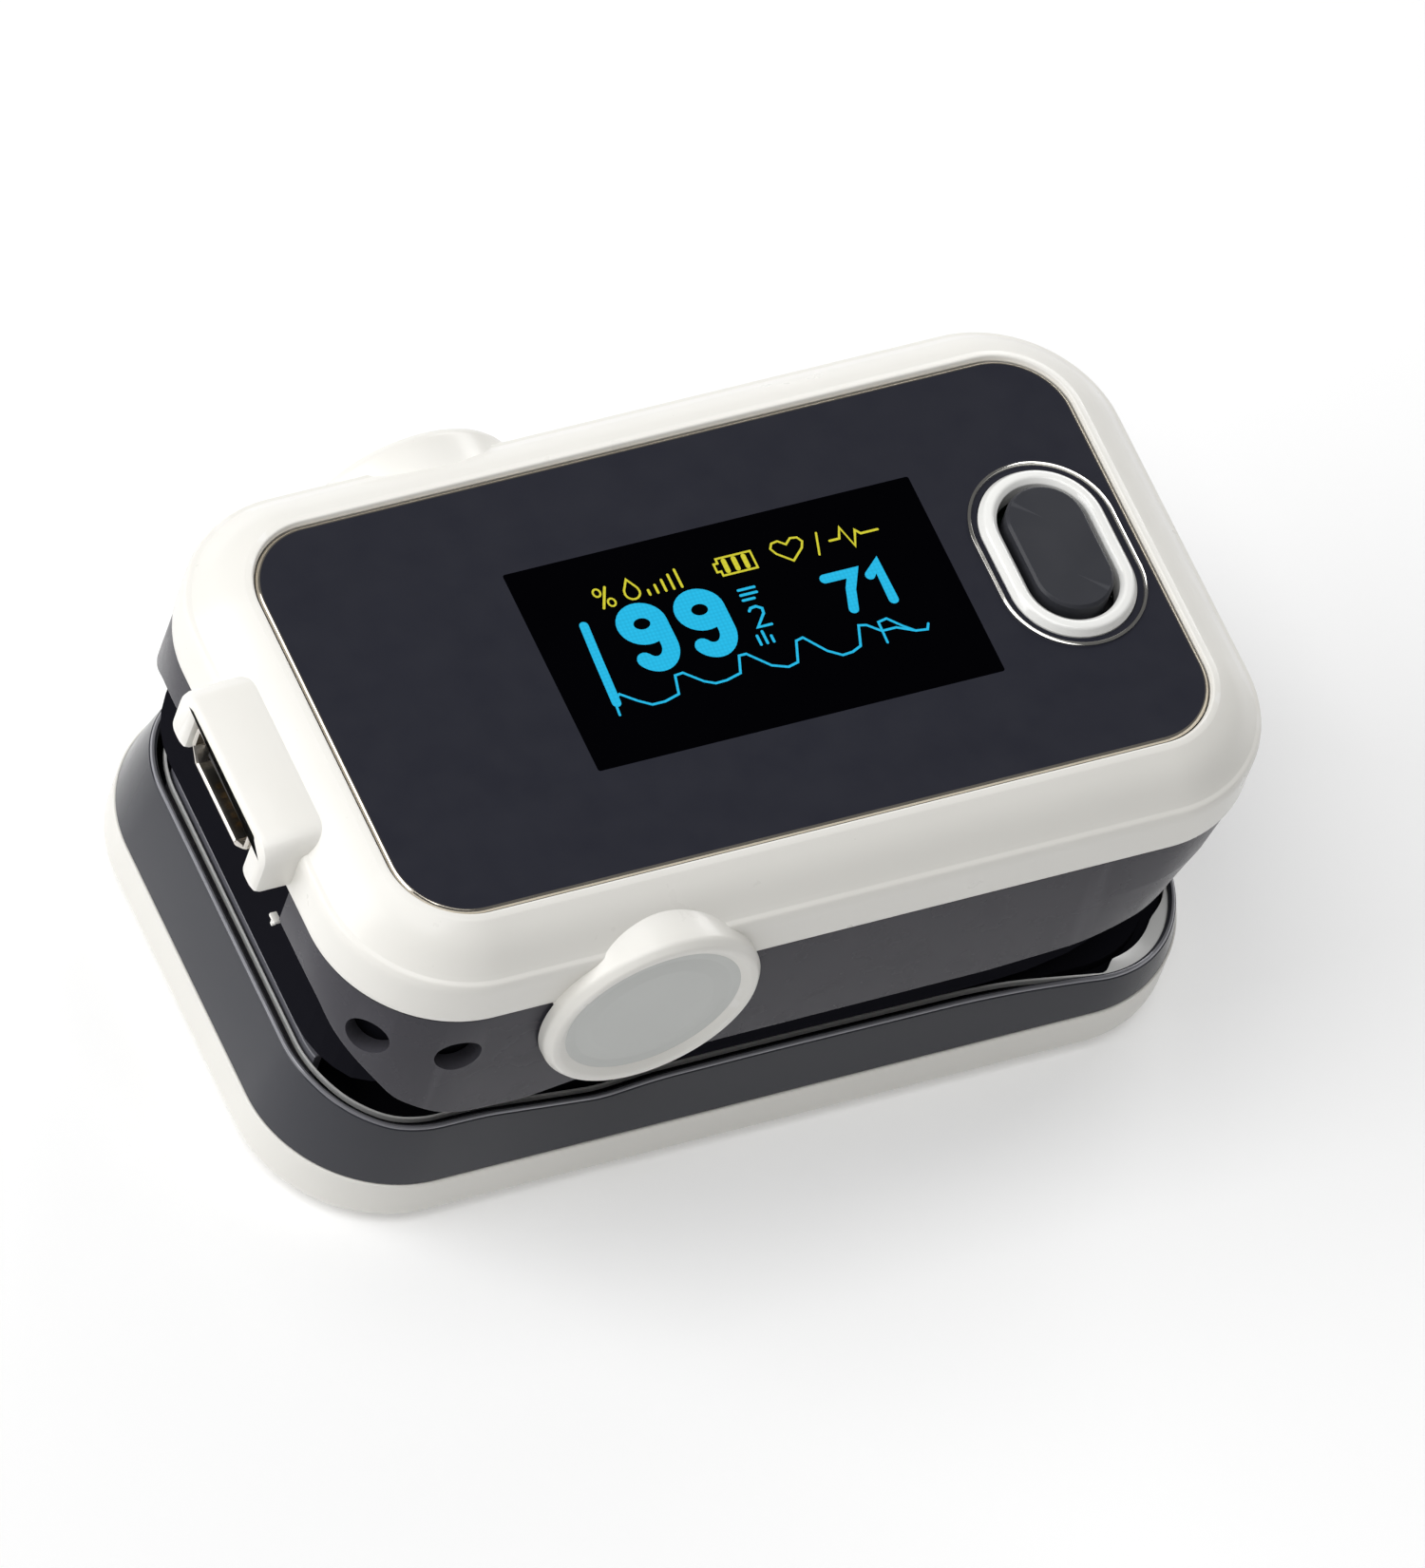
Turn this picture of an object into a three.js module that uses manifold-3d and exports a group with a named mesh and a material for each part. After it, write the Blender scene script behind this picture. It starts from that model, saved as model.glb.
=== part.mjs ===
// Fingertip pulse oximeter: two jaws on a sprung side hinge, OLED window and one push button on top.
// Units are millimetres. +X points to the finger mouth, +Z is up, the origin is the centre of the underside.
import * as THREE from 'three';
import { mergeVertices } from 'three/addons/utils/BufferGeometryUtils.js';
import Module from 'manifold-3d';

const wasm = await Module();
wasm.setup();

// Overall body
const HALF_LENGTH = 29.0;
const HALF_WIDTH = 16.9;
const CORNER_R = 7.9;
const TOP_Z = 26.4;
const SHELL_LOW_Z = 20.57;
const SHOULDER_Z = 24.1;
const BASE_TOP_Z = 3.8;
const BASE_WALL = 1.3;
const BASE_FLOOR = 1.2;
const FRAME_WALL = 1.05;
const SEAM = 0.06;

// Hinge
const PIVOT_X = -11.1;
const PIVOT_Z = 18.6;
const PIN_R = 1.5;
const PIN_IN_Y = 10.9;
const PIN_OUT_Y = 16.5;
const EAR_R = 3.2;
const EAR_IN_Y = 13.3;
const EAR_OUT_Y = 14.6;
const EAR_HOLE_R = 1.85;
const SPRING_MEAN_R = 2.5;
const SPRING_WIRE_R = 0.24;
const SPRING_TURNS = 2.25;
const SPRING_IN_Y = 11.4;
const SPRING_PITCH = 0.62;

// Side bosses over the hinge pins
const BOSS_R = 6.6;
const BOSS_IN_Y = 16.95;
const BOSS_SEAT_Y = 17.3;
const BOSS_OUT_Y = 18.1;
const INSERT_R = 5.3;

// Rear hood over the charging socket
const HOOD_OUT_X = -31.6;
const HOOD_HALF_W = 5.95;
const HOOD_LOW_Z = 20.95;
const HOOD_TOP_Z = 25.3;
const HOOD_SLOT_HALF_W = 4.05;
const HOOD_SLOT_TOP_Z = 24.25;
const USB_HALF_W = 3.75;
const USB_LOW_Z = 21.45;
const USB_HEIGHT = 2.6;

// Window, display and button
const WINDOW_INSET = 3.6;
const WINDOW_LOW_Z = 25.2;
const WINDOW_TOP_Z = 26.2;
const DISPLAY_X = 1.4;
const DISPLAY_Y = 0.35;
const OLED_L = 26.7;
const OLED_W = 19.3;
const OLED_LOW_Z = 23.65;
const OLED_TOP_Z = 25.05;
const BUTTON_X = 20.3;
const BEZEL_HALF_X = 3.8;
const BEZEL_HALF_Y = 5.7;
const BEZEL_TOP_Z = 26.75;
const BUTTON_HALF_X = 2.35;
const BUTTON_HALF_Y = 4.2;
const BUTTON_TOP_Z = 27.0;

// Boards, sensor and battery
const BOARD_LOW_Z = 20.4;
const BOARD_TOP_Z = 21.4;
const BOARD_HALF_W = 12.5;
const SENSOR_X = 5.0;
const LENS_R = 3.0;
const DECK_LOW_Z = 4.75;
const DECK_TOP_Z = 5.5;
const TRAY_DECK_LOW_Z = 18.0;
const TRAY_DECK_TOP_Z = 18.9;
const SCREW_X = 22.3;
const SCREW_Y = 12.3;

// Finger channel
const PAD_REAR_X = -6.5;
const LOWER_PAD_FRONT_X = 26.9;
const UPPER_PAD_FRONT_X = 24.7;
const PAD_HALF_W = 12.7;

const SIDE_STEPS = 16;
const END_STEPS = 4;

const group = new THREE.Group();
group.name = 'fingertip_pulse_oximeter';

// ---------------------------------------------------------------- solid helpers

function node(name, geometry, color, roughness, metalness = 0) {
  const mesh = new THREE.Mesh(geometry, new THREE.MeshStandardMaterial({ color, roughness, metalness }));
  mesh.name = name;
  group.add(mesh);
}

function toManifold(geometry) {
  const bare = geometry.clone();
  bare.deleteAttribute('normal');
  bare.deleteAttribute('uv');
  const merged = mergeVertices(bare, 1e-5);
  const vertProperties = new Float32Array(merged.attributes.position.array);
  const triVerts = new Uint32Array(merged.index.array);
  return new wasm.Manifold(new wasm.Mesh({ numProp: 3, vertProperties, triVerts }));
}

function fromManifold(solid) {
  const mesh = solid.getMesh();
  const geometry = new THREE.BufferGeometry();
  geometry.setAttribute('position', new THREE.BufferAttribute(new Float32Array(mesh.vertProperties), 3));
  geometry.setIndex(new THREE.BufferAttribute(new Uint32Array(mesh.triVerts), 1));
  geometry.computeVertexNormals();
  return geometry;
}

function union(base, ...tools) {
  return fromManifold(tools.reduce((solid, tool) => solid.add(toManifold(tool)), toManifold(base)));
}

function subtract(base, ...tools) {
  return fromManifold(tools.reduce((solid, tool) => solid.subtract(toManifold(tool)), toManifold(base)));
}

function intersect(base, tool) {
  return fromManifold(toManifold(base).intersect(toManifold(tool)));
}

function block(x0, x1, y0, y1, z0, z1) {
  const box = new THREE.BoxGeometry(x1 - x0, y1 - y0, z1 - z0);
  return box.translate((x0 + x1) / 2, (y0 + y1) / 2, (z0 + z1) / 2);
}

function cylinderZ(radius, z0, z1, x, y, segments = 32) {
  const rod = new THREE.CylinderGeometry(radius, radius, z1 - z0, segments);
  return rod.rotateX(Math.PI / 2).translate(x, y, (z0 + z1) / 2);
}

function cylinderY(radius, y0, y1, x, z, segments = 32) {
  const rod = new THREE.CylinderGeometry(radius, radius, Math.abs(y1 - y0), segments);
  return rod.translate(x, (y0 + y1) / 2, z);
}

// Solid of revolution about Y from [radius, y] pairs, moved to the hinge line
function turnedOnHinge(profile, segments = 36) {
  const points = profile.map(([r, y]) => new THREE.Vector2(r, y));
  return new THREE.LatheGeometry(points, segments).translate(PIVOT_X, 0, PIVOT_Z);
}

// Points of a rounded rectangle with outward normals, counter-clockwise seen from above
function outline(halfX, halfY, radius, sideSteps = SIDE_STEPS, endSteps = END_STEPS, cornerSteps = 9) {
  const points = [];
  const corners = [[1, 1, 0], [-1, 1, 90], [-1, -1, 180], [1, -1, 270]];
  corners.forEach(([sx, sy, start], k) => {
    const cx = sx * (halfX - radius);
    const cy = sy * (halfY - radius);
    for (let i = 0; i <= cornerSteps; i += 1) {
      const angle = THREE.MathUtils.degToRad(start + (90 * i) / cornerSteps);
      const nx = Math.cos(angle);
      const ny = Math.sin(angle);
      points.push({ x: cx + radius * nx, y: cy + radius * ny, nx, ny });
    }
    const last = points[points.length - 1];
    const [tx, ty] = [corners[(k + 1) % 4][0], corners[(k + 1) % 4][1]];
    const steps = k % 2 === 0 ? sideSteps : endSteps;
    const endX = tx * (halfX - (k % 2 === 0 ? radius : 0));
    const endY = ty * (halfY - (k % 2 === 0 ? 0 : radius));
    for (let i = 1; i < steps; i += 1) {
      const t = i / steps;
      const x = last.x + (endX - last.x) * t;
      const y = last.y + (endY - last.y) * t;
      points.push({ x, y, nx: last.nx, ny: last.ny });
    }
  });
  return points;
}

// One closed loop of points: the outline moved inwards and lifted, either by numbers or by functions
function loop(points, inset, z) {
  const value = (item, p) => (typeof item === 'function' ? item(p) : item);
  return points.map((p) => {
    const d = value(inset, p);
    return new THREE.Vector3(p.x - p.nx * d, p.y - p.ny * d, value(z, p));
  });
}

function capTriangles(ring, offset, reverse) {
  const size = new THREE.Box3().setFromPoints(ring).getSize(new THREE.Vector3());
  const flat = size.x < 1e-6 ? (p) => new THREE.Vector2(p.y, p.z) : (p) => new THREE.Vector2(p.x, p.y);
  const contour = ring.map(flat);
  const ringSign = Math.sign(THREE.ShapeUtils.area(contour));
  return THREE.ShapeUtils.triangulateShape(contour, []).map(([a, b, c]) => {
    const sign = Math.sign(THREE.ShapeUtils.area([contour[a], contour[b], contour[c]])) * ringSign;
    const keep = (sign > 0) !== reverse;
    return (keep ? [a, b, c] : [a, c, b]).map((i) => i + offset);
  });
}

// Skins a stack of loops: a ring-shaped wall when closed, otherwise a body with both ends capped
function skin(loops, closed) {
  const count = loops[0].length;
  const triangles = [];
  const spans = closed ? loops.length : loops.length - 1;
  for (let k = 0; k < spans; k += 1) {
    const a = k * count;
    const b = ((k + 1) % loops.length) * count;
    for (let i = 0; i < count; i += 1) {
      const j = (i + 1) % count;
      triangles.push([a + i, a + j, b + j], [a + i, b + j, b + i]);
    }
  }
  if (!closed) {
    triangles.push(...capTriangles(loops[0], 0, true));
    triangles.push(...capTriangles(loops[loops.length - 1], (loops.length - 1) * count, false));
  }
  const points = loops.flat();
  const volume = triangles.reduce((sum, [a, b, c]) => {
    const cross = new THREE.Vector3().crossVectors(points[b], points[c]);
    return sum + points[a].dot(cross);
  }, 0);
  const faces = volume > 0 ? triangles : triangles.map(([a, b, c]) => [a, c, b]);
  const geometry = new THREE.BufferGeometry().setFromPoints(points);
  geometry.setIndex(faces.flat());
  geometry.computeVertexNormals();
  return geometry;
}

function plate(halfX, halfY, radius, x, y, z0, z1, edge = 0) {
  const points = outline(halfX, halfY, radius, 1, 1, 8);
  const loops = [loop(points, edge, z0)];
  if (edge > 0) {
    loops.push(loop(points, 0, z0 + edge), loop(points, 0, z1 - edge));
  }
  loops.push(loop(points, edge, z1));
  return skin(loops, false).translate(x, y, 0);
}

// Straight-line interpolation through [x, value] stations
function along(stations, x) {
  const last = stations[stations.length - 1];
  if (x <= stations[0][0]) {
    return stations[0][1];
  }
  const k = stations.findIndex(([at]) => at >= x);
  if (k < 0) {
    return last[1];
  }
  const [x0, v0] = stations[k - 1];
  const [x1, v1] = stations[k];
  return v0 + ((v1 - v0) * (x - x0)) / (x1 - x0);
}

function smooth(edge0, edge1, value) {
  return THREE.MathUtils.smoothstep(value, edge0, edge1);
}

const shellOutline = outline(HALF_LENGTH, HALF_WIDTH, CORNER_R);
const baseOutline = outline(HALF_LENGTH, HALF_WIDTH, CORNER_R + 0.4);
const coverOutline = outline(HALF_LENGTH, HALF_WIDTH, CORNER_R, 1, 1);
const deckOutline = outline(HALF_LENGTH, HALF_WIDTH, CORNER_R + 0.4, 1, 1);

// Share of a point that belongs to the finger mouth end, 0 on the sides and 1 on the end wall
const mouthShare = (p) => smooth(12, 29, p.x);

// ---------------------------------------------------------------- lower jaw

const bottomCover = skin([
  loop(deckOutline, 1.1, 0),
  loop(deckOutline, 0.45, 0.12),
  loop(deckOutline, 0.08, 0.5),
  loop(deckOutline, 0, 1.0),
  loop(deckOutline, 0, BASE_TOP_Z),
  loop(deckOutline, BASE_WALL, BASE_TOP_Z),
  loop(deckOutline, BASE_WALL, BASE_FLOOR),
], false);
const screwPlaces = [[1, 1], [-1, 1], [-1, -1], [1, -1]].map(([sx, sy]) => [sx * SCREW_X, sy * SCREW_Y]);
const screwBores = screwPlaces.flatMap(([x, y]) => [
  cylinderZ(2.1, -1, 0.7, x, y, 24),
  cylinderZ(1.15, 0, 2, x, y, 24),
]);
node('bottom_cover', subtract(bottomCover, ...screwBores), 0xdedcd6, 0.35);

// Top edge of the lower frame: high at the rear, dipping under the hinge, falling away at the mouth
const lowerEdge = [
  [-29, 9.0], [-27, 8.5], [-24, 8.0], [-18, 7.9], [-14, 7.2], [-10.5, 6.6], [-7, 7.1], [0, 7.1],
  [12, 6.9], [16, 6.7], [20, 6.4], [23, 6.0], [26, 5.5], [29, 5.2],
];
const lowerDraft = (p) => 1.05 - 0.65 * mouthShare(p);
const lowerTop = (p) => along(lowerEdge, p.x);
const lowerFrame = skin([
  loop(baseOutline, 0.1, BASE_TOP_Z + SEAM),
  loop(baseOutline, lowerDraft, lowerTop),
  loop(baseOutline, (p) => lowerDraft(p) + 0.25, (p) => lowerTop(p) + 0.12),
  loop(baseOutline, (p) => lowerDraft(p) + FRAME_WALL, (p) => lowerTop(p) - 0.05),
  loop(baseOutline, FRAME_WALL + 0.2, BASE_TOP_Z + SEAM),
], true);
node('lower_frame', lowerFrame, 0x4a4a4e, 0.22);

// Deck under the finger pad with two ears that reach up to the hinge pins
const deck = skin([loop(deckOutline, 2.3, DECK_LOW_Z), loop(deckOutline, 2.3, DECK_TOP_Z)], false);

function ear(side) {
  const y0 = Math.min(side * EAR_IN_Y, side * EAR_OUT_Y);
  const y1 = Math.max(side * EAR_IN_Y, side * EAR_OUT_Y);
  const arm = block(PIVOT_X - 2.6, PIVOT_X + 2.6, y0, y1, DECK_LOW_Z + 0.2, PIVOT_Z);
  const eye = cylinderY(EAR_R, y0, y1, PIVOT_X, PIVOT_Z, 40);
  const hole = cylinderY(EAR_HOLE_R, y0 - 1, y1 + 1, PIVOT_X, PIVOT_Z, 32);
  return subtract(union(arm, eye), hole);
}

const screwPosts = screwPlaces.map(([x, y]) => cylinderZ(1.9, BASE_FLOOR + 0.05, DECK_LOW_Z + 0.3, x, y, 20));
const screwHoles = screwPlaces.map(([x, y]) => cylinderZ(0.85, 0, DECK_LOW_Z + 0.2, x, y, 16));
const lowerTray = subtract(union(deck, ear(1), ear(-1), ...screwPosts), ...screwHoles);
node('lower_tray', lowerTray, 0x2e2e32, 0.5);

// Cross-section of a finger pad: flat on its back, hollowed by a shallow arc on the finger side
function padSection(x, flatZ, edgeZ, centreZ, halfWidth) {
  const points = [];
  const steps = 14;
  for (let i = 0; i <= steps; i += 1) {
    const t = -1 + (2 * i) / steps;
    const lift = Math.pow(Math.abs(t), 1.8);
    points.push(new THREE.Vector3(x, t * halfWidth, centreZ + (edgeZ - centreZ) * lift));
  }
  points.push(new THREE.Vector3(x, halfWidth, flatZ), new THREE.Vector3(x, -halfWidth, flatZ));
  return points;
}

function fingerPad(frontX, flatZ, edgeStations, centreStations) {
  const sections = [PAD_REAR_X, -3, 2, 7, 12, 16, 20, 22.5, frontX - 0.8, frontX];
  return skin(sections.map((x) => {
    const halfWidth = PAD_HALF_W - 3.6 * smooth(19, 28, x);
    return padSection(x, flatZ, along(edgeStations, x), along(centreStations, x), halfWidth);
  }), false);
}

const lensBore = (z0, z1) => cylinderZ(LENS_R + 0.1, z0, z1, SENSOR_X, 0, 32);
const lowerPad = fingerPad(
  LOWER_PAD_FRONT_X,
  DECK_TOP_Z + 0.02,
  [[-6.5, 9.5], [14, 9.3], [20, 8.7], [24, 7.6], [27, 6.3]],
  [[-6.5, 9.0], [-1, 7.1], [6, 6.5], [16, 6.5], [27, 5.95]],
);
node('lower_finger_pad', subtract(lowerPad, lensBore(5, 12)), 0x232327, 0.85);
node('photodiode_board', cylinderZ(LENS_R - 0.1, 5.52, 5.75, SENSOR_X, 0, 28), 0x1d5a37, 0.6);
node('photodiode', block(SENSOR_X - 1.4, SENSOR_X + 1.4, -1.4, 1.4, 5.77, 6.12), 0x141418, 0.2);
node('photodiode_lens', cylinderZ(LENS_R, 6.16, 6.5, SENSOR_X, 0, 32), 0xc9cdd2, 0.1);
node('battery_cell', plate(16, 9.6, 0.9, 7.5, 0, BASE_FLOOR + 0.1, 4.6, 0.5), 0xb9bcc0, 0.45, 0.4);

function screw(headR, headH, shankR, length, x, y, z, up) {
  const socket = 0.45;
  const profile = [
    [0, socket], [headR * 0.45, socket], [headR * 0.45, 0], [headR * 0.85, 0], [headR, 0.2],
    [headR, headH], [shankR, headH], [shankR, length - 0.3], [shankR * 0.6, length], [0, length],
  ].map(([r, h]) => new THREE.Vector2(r, h));
  const downward = profile.map((p) => new THREE.Vector2(p.x, -p.y)).reverse();
  return new THREE.LatheGeometry(up ? profile : downward, 16).rotateX(Math.PI / 2).translate(x, y, z);
}

screwPlaces.forEach(([x, y], i) => {
  node(`base_screw_${i + 1}`, screw(1.9, 0.55, 0.8, 4.2, x, y, 0.08, true), 0x8b8d90, 0.3, 0.9);
});

// ---------------------------------------------------------------- upper jaw

const frameHoles = [-1, 1].map((side) => cylinderY(PIN_R + 0.06, side * 15, side * 16.75, PIVOT_X, PIVOT_Z));

// Boss: a full disc outside the body, its upper part running into the shoulder of the shell
function boss(side) {
  const disc = turnedOnHinge([
    [0, side * BOSS_IN_Y], [BOSS_R - 0.08, side * BOSS_IN_Y], [BOSS_R, side * (BOSS_IN_Y + 0.15)],
    [BOSS_R, side * (BOSS_OUT_Y - 0.55)],
    [BOSS_R - 0.2, side * (BOSS_OUT_Y - 0.18)], [BOSS_R - 0.6, side * BOSS_OUT_Y],
    [INSERT_R + 0.25, side * BOSS_OUT_Y], [INSERT_R + 0.08, side * (BOSS_OUT_Y - 0.3)],
    [INSERT_R + 0.08, side * BOSS_SEAT_Y], [0, side * BOSS_SEAT_Y],
  ]);
  const root = cylinderY(BOSS_R, side * 14.3, side * (BOSS_IN_Y + 0.05), PIVOT_X, PIVOT_Z, 36);
  const above = block(PIVOT_X - 8, PIVOT_X + 8, -20, 20, SHELL_LOW_Z + 0.2, TOP_Z - 0.15);
  const inside = block(PIVOT_X - 8, PIVOT_X + 8, -15.7, 15.7, 10, 24.6);
  const upperRoot = subtract(intersect(root, above), inside);
  return [orientOut(disc), upperRoot];
}

// Turns a geometry the right way round when its profile was walked backwards
function orientOut(geometry) {
  const bare = geometry.clone();
  bare.deleteAttribute('normal');
  bare.deleteAttribute('uv');
  const merged = mergeVertices(bare, 1e-5);
  const position = merged.attributes.position;
  const index = Array.from(merged.index.array);
  let volume = 0;
  for (let i = 0; i < index.length; i += 3) {
    const [a, b, c] = [0, 1, 2].map((k) => new THREE.Vector3().fromBufferAttribute(position, index[i + k]));
    volume += a.dot(b.cross(c));
  }
  if (volume < 0) {
    merged.setIndex(index.map((v, i) => index[i % 3 === 1 ? i + 1 : i % 3 === 2 ? i - 1 : i]));
  }
  merged.computeVertexNormals();
  return merged;
}

const coverRing = skin([
  loop(coverOutline, 0.12, SHELL_LOW_Z),
  loop(coverOutline, 0, SHELL_LOW_Z + 0.15),
  loop(coverOutline, 0, SHOULDER_Z - 0.5),
  loop(coverOutline, 0.12, SHOULDER_Z - 0.12),
  loop(coverOutline, 0.5, SHOULDER_Z + 0.05),
  loop(coverOutline, 0.95, SHOULDER_Z + 0.55),
  loop(coverOutline, 1.6, SHOULDER_Z + 1.25),
  loop(coverOutline, 2.4, SHOULDER_Z + 1.85),
  loop(coverOutline, 3.1, TOP_Z - 0.1),
  loop(coverOutline, 3.35, TOP_Z),
  loop(coverOutline, WINDOW_INSET - 0.1, TOP_Z - 0.2),
  loop(coverOutline, WINDOW_INSET - 0.1, WINDOW_LOW_Z - 0.05),
  loop(coverOutline, WINDOW_INSET + 0.9, WINDOW_LOW_Z - 0.05),
  loop(coverOutline, WINDOW_INSET + 0.9, WINDOW_LOW_Z - 0.65),
  loop(coverOutline, 2.5, WINDOW_LOW_Z - 0.85),
  loop(coverOutline, 1.3, SHOULDER_Z - 1.0),
  loop(coverOutline, 1.3, SHELL_LOW_Z),
], true);
const hoodLength = -27.0 - HOOD_OUT_X;
const hoodX = HOOD_OUT_X + hoodLength / 2;
const hood = plate(hoodLength / 2, HOOD_HALF_W, 1.0, hoodX, 0, HOOD_LOW_Z, HOOD_TOP_Z, 0.5);
const hoodRoom = block(-30.4, -24, -HOOD_SLOT_HALF_W - 0.6, HOOD_SLOT_HALF_W + 0.6, 20, HOOD_SLOT_TOP_Z);
const hoodSlot = block(-33, -24, -HOOD_SLOT_HALF_W, HOOD_SLOT_HALF_W, 20, HOOD_SLOT_TOP_Z);
const topCover = subtract(
  union(coverRing, hood, ...boss(1), ...boss(-1)),
  hoodRoom,
  hoodSlot,
  ...frameHoles,
);
node('top_cover', topCover, 0xf1efe9, 0.35);

// Lower edge of the upper frame: swept up to the rear corners, tapering in towards the mouth
const upperEdge = [
  [-29, 18.0], [-28.5, 16.4], [-27.6, 15.2], [-26.2, 13.8], [-25, 12.5], [-22.4, 11.3], [-20.4, 10.7],
  [-17, 10.5], [-13, 11.3], [-7, 11.6], [12, 11.7], [17, 12.1], [20, 12.6], [23, 13.2],
  [26, 13.4], [29, 13.0],
];
const upperInset = (p) => 0.12 + 1.75 * smooth(17, 29, p.x);
const upperLow = (p) => along(upperEdge, p.x);
const upperWaistInset = (p) => 0.12 + (upperInset(p) - 0.12) * 0.35;
const upperWaistZ = (p) => (SHELL_LOW_Z + upperLow(p)) / 2;
const upperFrame = skin([
  loop(shellOutline, 0.12, SHELL_LOW_Z - SEAM),
  loop(shellOutline, upperWaistInset, upperWaistZ),
  loop(shellOutline, upperInset, (p) => upperLow(p) + 0.2),
  loop(shellOutline, (p) => upperInset(p) + 0.2, upperLow),
  loop(shellOutline, (p) => upperInset(p) + FRAME_WALL, upperLow),
  loop(shellOutline, (p) => FRAME_WALL + upperWaistInset(p), upperWaistZ),
  loop(shellOutline, 0.12 + FRAME_WALL, SHELL_LOW_Z - SEAM),
], true);
const lanyardSide = cylinderY(1.35, -18, -14, -22.3, 17.0, 24);
const lanyardCorner = new THREE.CylinderGeometry(1.35, 1.35, 5, 24)
  .rotateZ(THREE.MathUtils.degToRad(-52)).translate(-27.0, -14.2, 17.2);
const socketBay = block(-31, -25, -HOOD_HALF_W, HOOD_HALF_W, 17, 21);
const upperFrameCuts = [lanyardSide, lanyardCorner, socketBay, ...frameHoles];
node('upper_frame', subtract(upperFrame, ...upperFrameCuts), 0x55545a, 0.3);

// Inner tray: a nested skirt and a deck that carries the board and the upper pad
const trayEdge = [
  [-29, 11.3], [-27, 11.4], [-25, 12.6], [-18, 12.2], [-14, 11.6], [-10, 9.5], [-7, 8.4],
  [12, 8.2], [18, 8.7], [22, 10.0], [26, 12.6], [29, 14.2],
];
const trayLow = (p) => along(trayEdge, p.x);
const trayTopInset = (p) => FRAME_WALL + 0.22 + 0.5 * smooth(15, 29, p.x);
const trayInset = (p) => FRAME_WALL + 0.22 + 1.85 * smooth(15, 29, p.x);
const skirt = skin([
  loop(shellOutline, trayTopInset, TRAY_DECK_TOP_Z),
  loop(shellOutline, trayInset, trayLow),
  loop(shellOutline, (p) => trayInset(p) + 0.75, trayLow),
  loop(shellOutline, (p) => trayTopInset(p) + 0.75, TRAY_DECK_TOP_Z),
], true);
const trayDeck = skin([
  loop(shellOutline, (p) => trayTopInset(p) + 0.4, TRAY_DECK_LOW_Z),
  loop(shellOutline, (p) => trayTopInset(p) + 0.4, TRAY_DECK_TOP_Z),
], false);
const earSlots = [-1, 1].map((side) => {
  const [y0, y1] = [side * 10.7, side * 16.2].sort((a, b) => a - b);
  return block(PIVOT_X - 4.6, PIVOT_X + 4.6, y0, y1, 14.6, 20);
});
const boardScrewPlaces = [[-21, 9], [-21, -9], [25, 0]];
const boardPosts = boardScrewPlaces.map(([x, y]) => (
  cylinderZ(1.7, TRAY_DECK_TOP_Z - 0.2, BOARD_LOW_Z - 0.03, x, y, 20)
));
const postHoles = boardScrewPlaces.map(([x, y]) => cylinderZ(0.75, TRAY_DECK_LOW_Z - 1, 21, x, y, 16));
const upperTray = subtract(union(skirt, trayDeck, ...boardPosts), ...earSlots, ...postHoles);
node('upper_tray', upperTray, 0x2e2e32, 0.5);

const upperPad = fingerPad(
  UPPER_PAD_FRONT_X,
  TRAY_DECK_LOW_Z - 0.02,
  [[-6.5, 10.9], [14, 11.1], [20, 12.2], [24, 13.6], [27, 15.0]],
  [[-6.5, 12.0], [-1, 13.9], [6, 14.6], [16, 14.8], [27, 16.4]],
);
node('upper_finger_pad', subtract(upperPad, lensBore(10, 17.9)), 0x232327, 0.85);
node('emitter_board', cylinderZ(LENS_R - 0.1, 17.6, 17.85, SENSOR_X, 0, 28), 0x1d5a37, 0.6);
node('emitter_leds', block(SENSOR_X - 1.2, SENSOR_X + 1.2, -0.9, 0.9, 17.1, 17.57), 0xe6e2c8, 0.3);
node('emitter_lens', cylinderZ(LENS_R, 14.75, 15.15, SENSOR_X, 0, 32), 0xc9cdd2, 0.1);

// Main board, notched beside the hinge springs, and the parts soldered to it
const boardNotches = [-1, 1].map((side) => {
  const [y0, y1] = [side * 10.6, side * 13].sort((a, b) => a - b);
  return block(PIVOT_X - 3.6, PIVOT_X + 3.6, y0, y1, 20, 22);
});
const boardHoles = boardScrewPlaces.map(([x, y]) => cylinderZ(0.85, 20, 22, x, y, 16));
const boardBlank = plate(26.5, BOARD_HALF_W, 4.5, 0.2, 0, BOARD_LOW_Z, BOARD_TOP_Z);
const mainBoard = subtract(boardBlank, ...boardNotches, ...boardHoles);
node('main_board', mainBoard, 0x17553a, 0.55);
boardScrewPlaces.forEach(([x, y], i) => {
  const fixing = screw(1.45, 0.6, 0.7, 3.6, x, y, BOARD_TOP_Z + 0.65, false);
  node(`board_screw_${i + 1}`, fixing, 0x8b8d90, 0.3, 0.9);
});
node('microcontroller', block(-7, 0, -3.5, 3.5, BOARD_TOP_Z + 0.03, 22.4), 0x18181b, 0.5);

const usbMid = USB_LOW_Z + USB_HEIGHT / 2;
const usbShell = subtract(
  block(-31.1, -25.6, -USB_HALF_W, USB_HALF_W, USB_LOW_Z, USB_LOW_Z + USB_HEIGHT),
  block(-32, -26.1, -USB_HALF_W + 0.3, USB_HALF_W - 0.3, USB_LOW_Z + 0.3, USB_LOW_Z + USB_HEIGHT - 0.3),
);
node('usb_socket', usbShell, 0xc4c6c9, 0.25, 1.0);
node('usb_tongue', block(-30.6, -26.12, -2.6, 2.6, usbMid - 0.3, usbMid + 0.35), 0x1a1a1c, 0.5);

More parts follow.
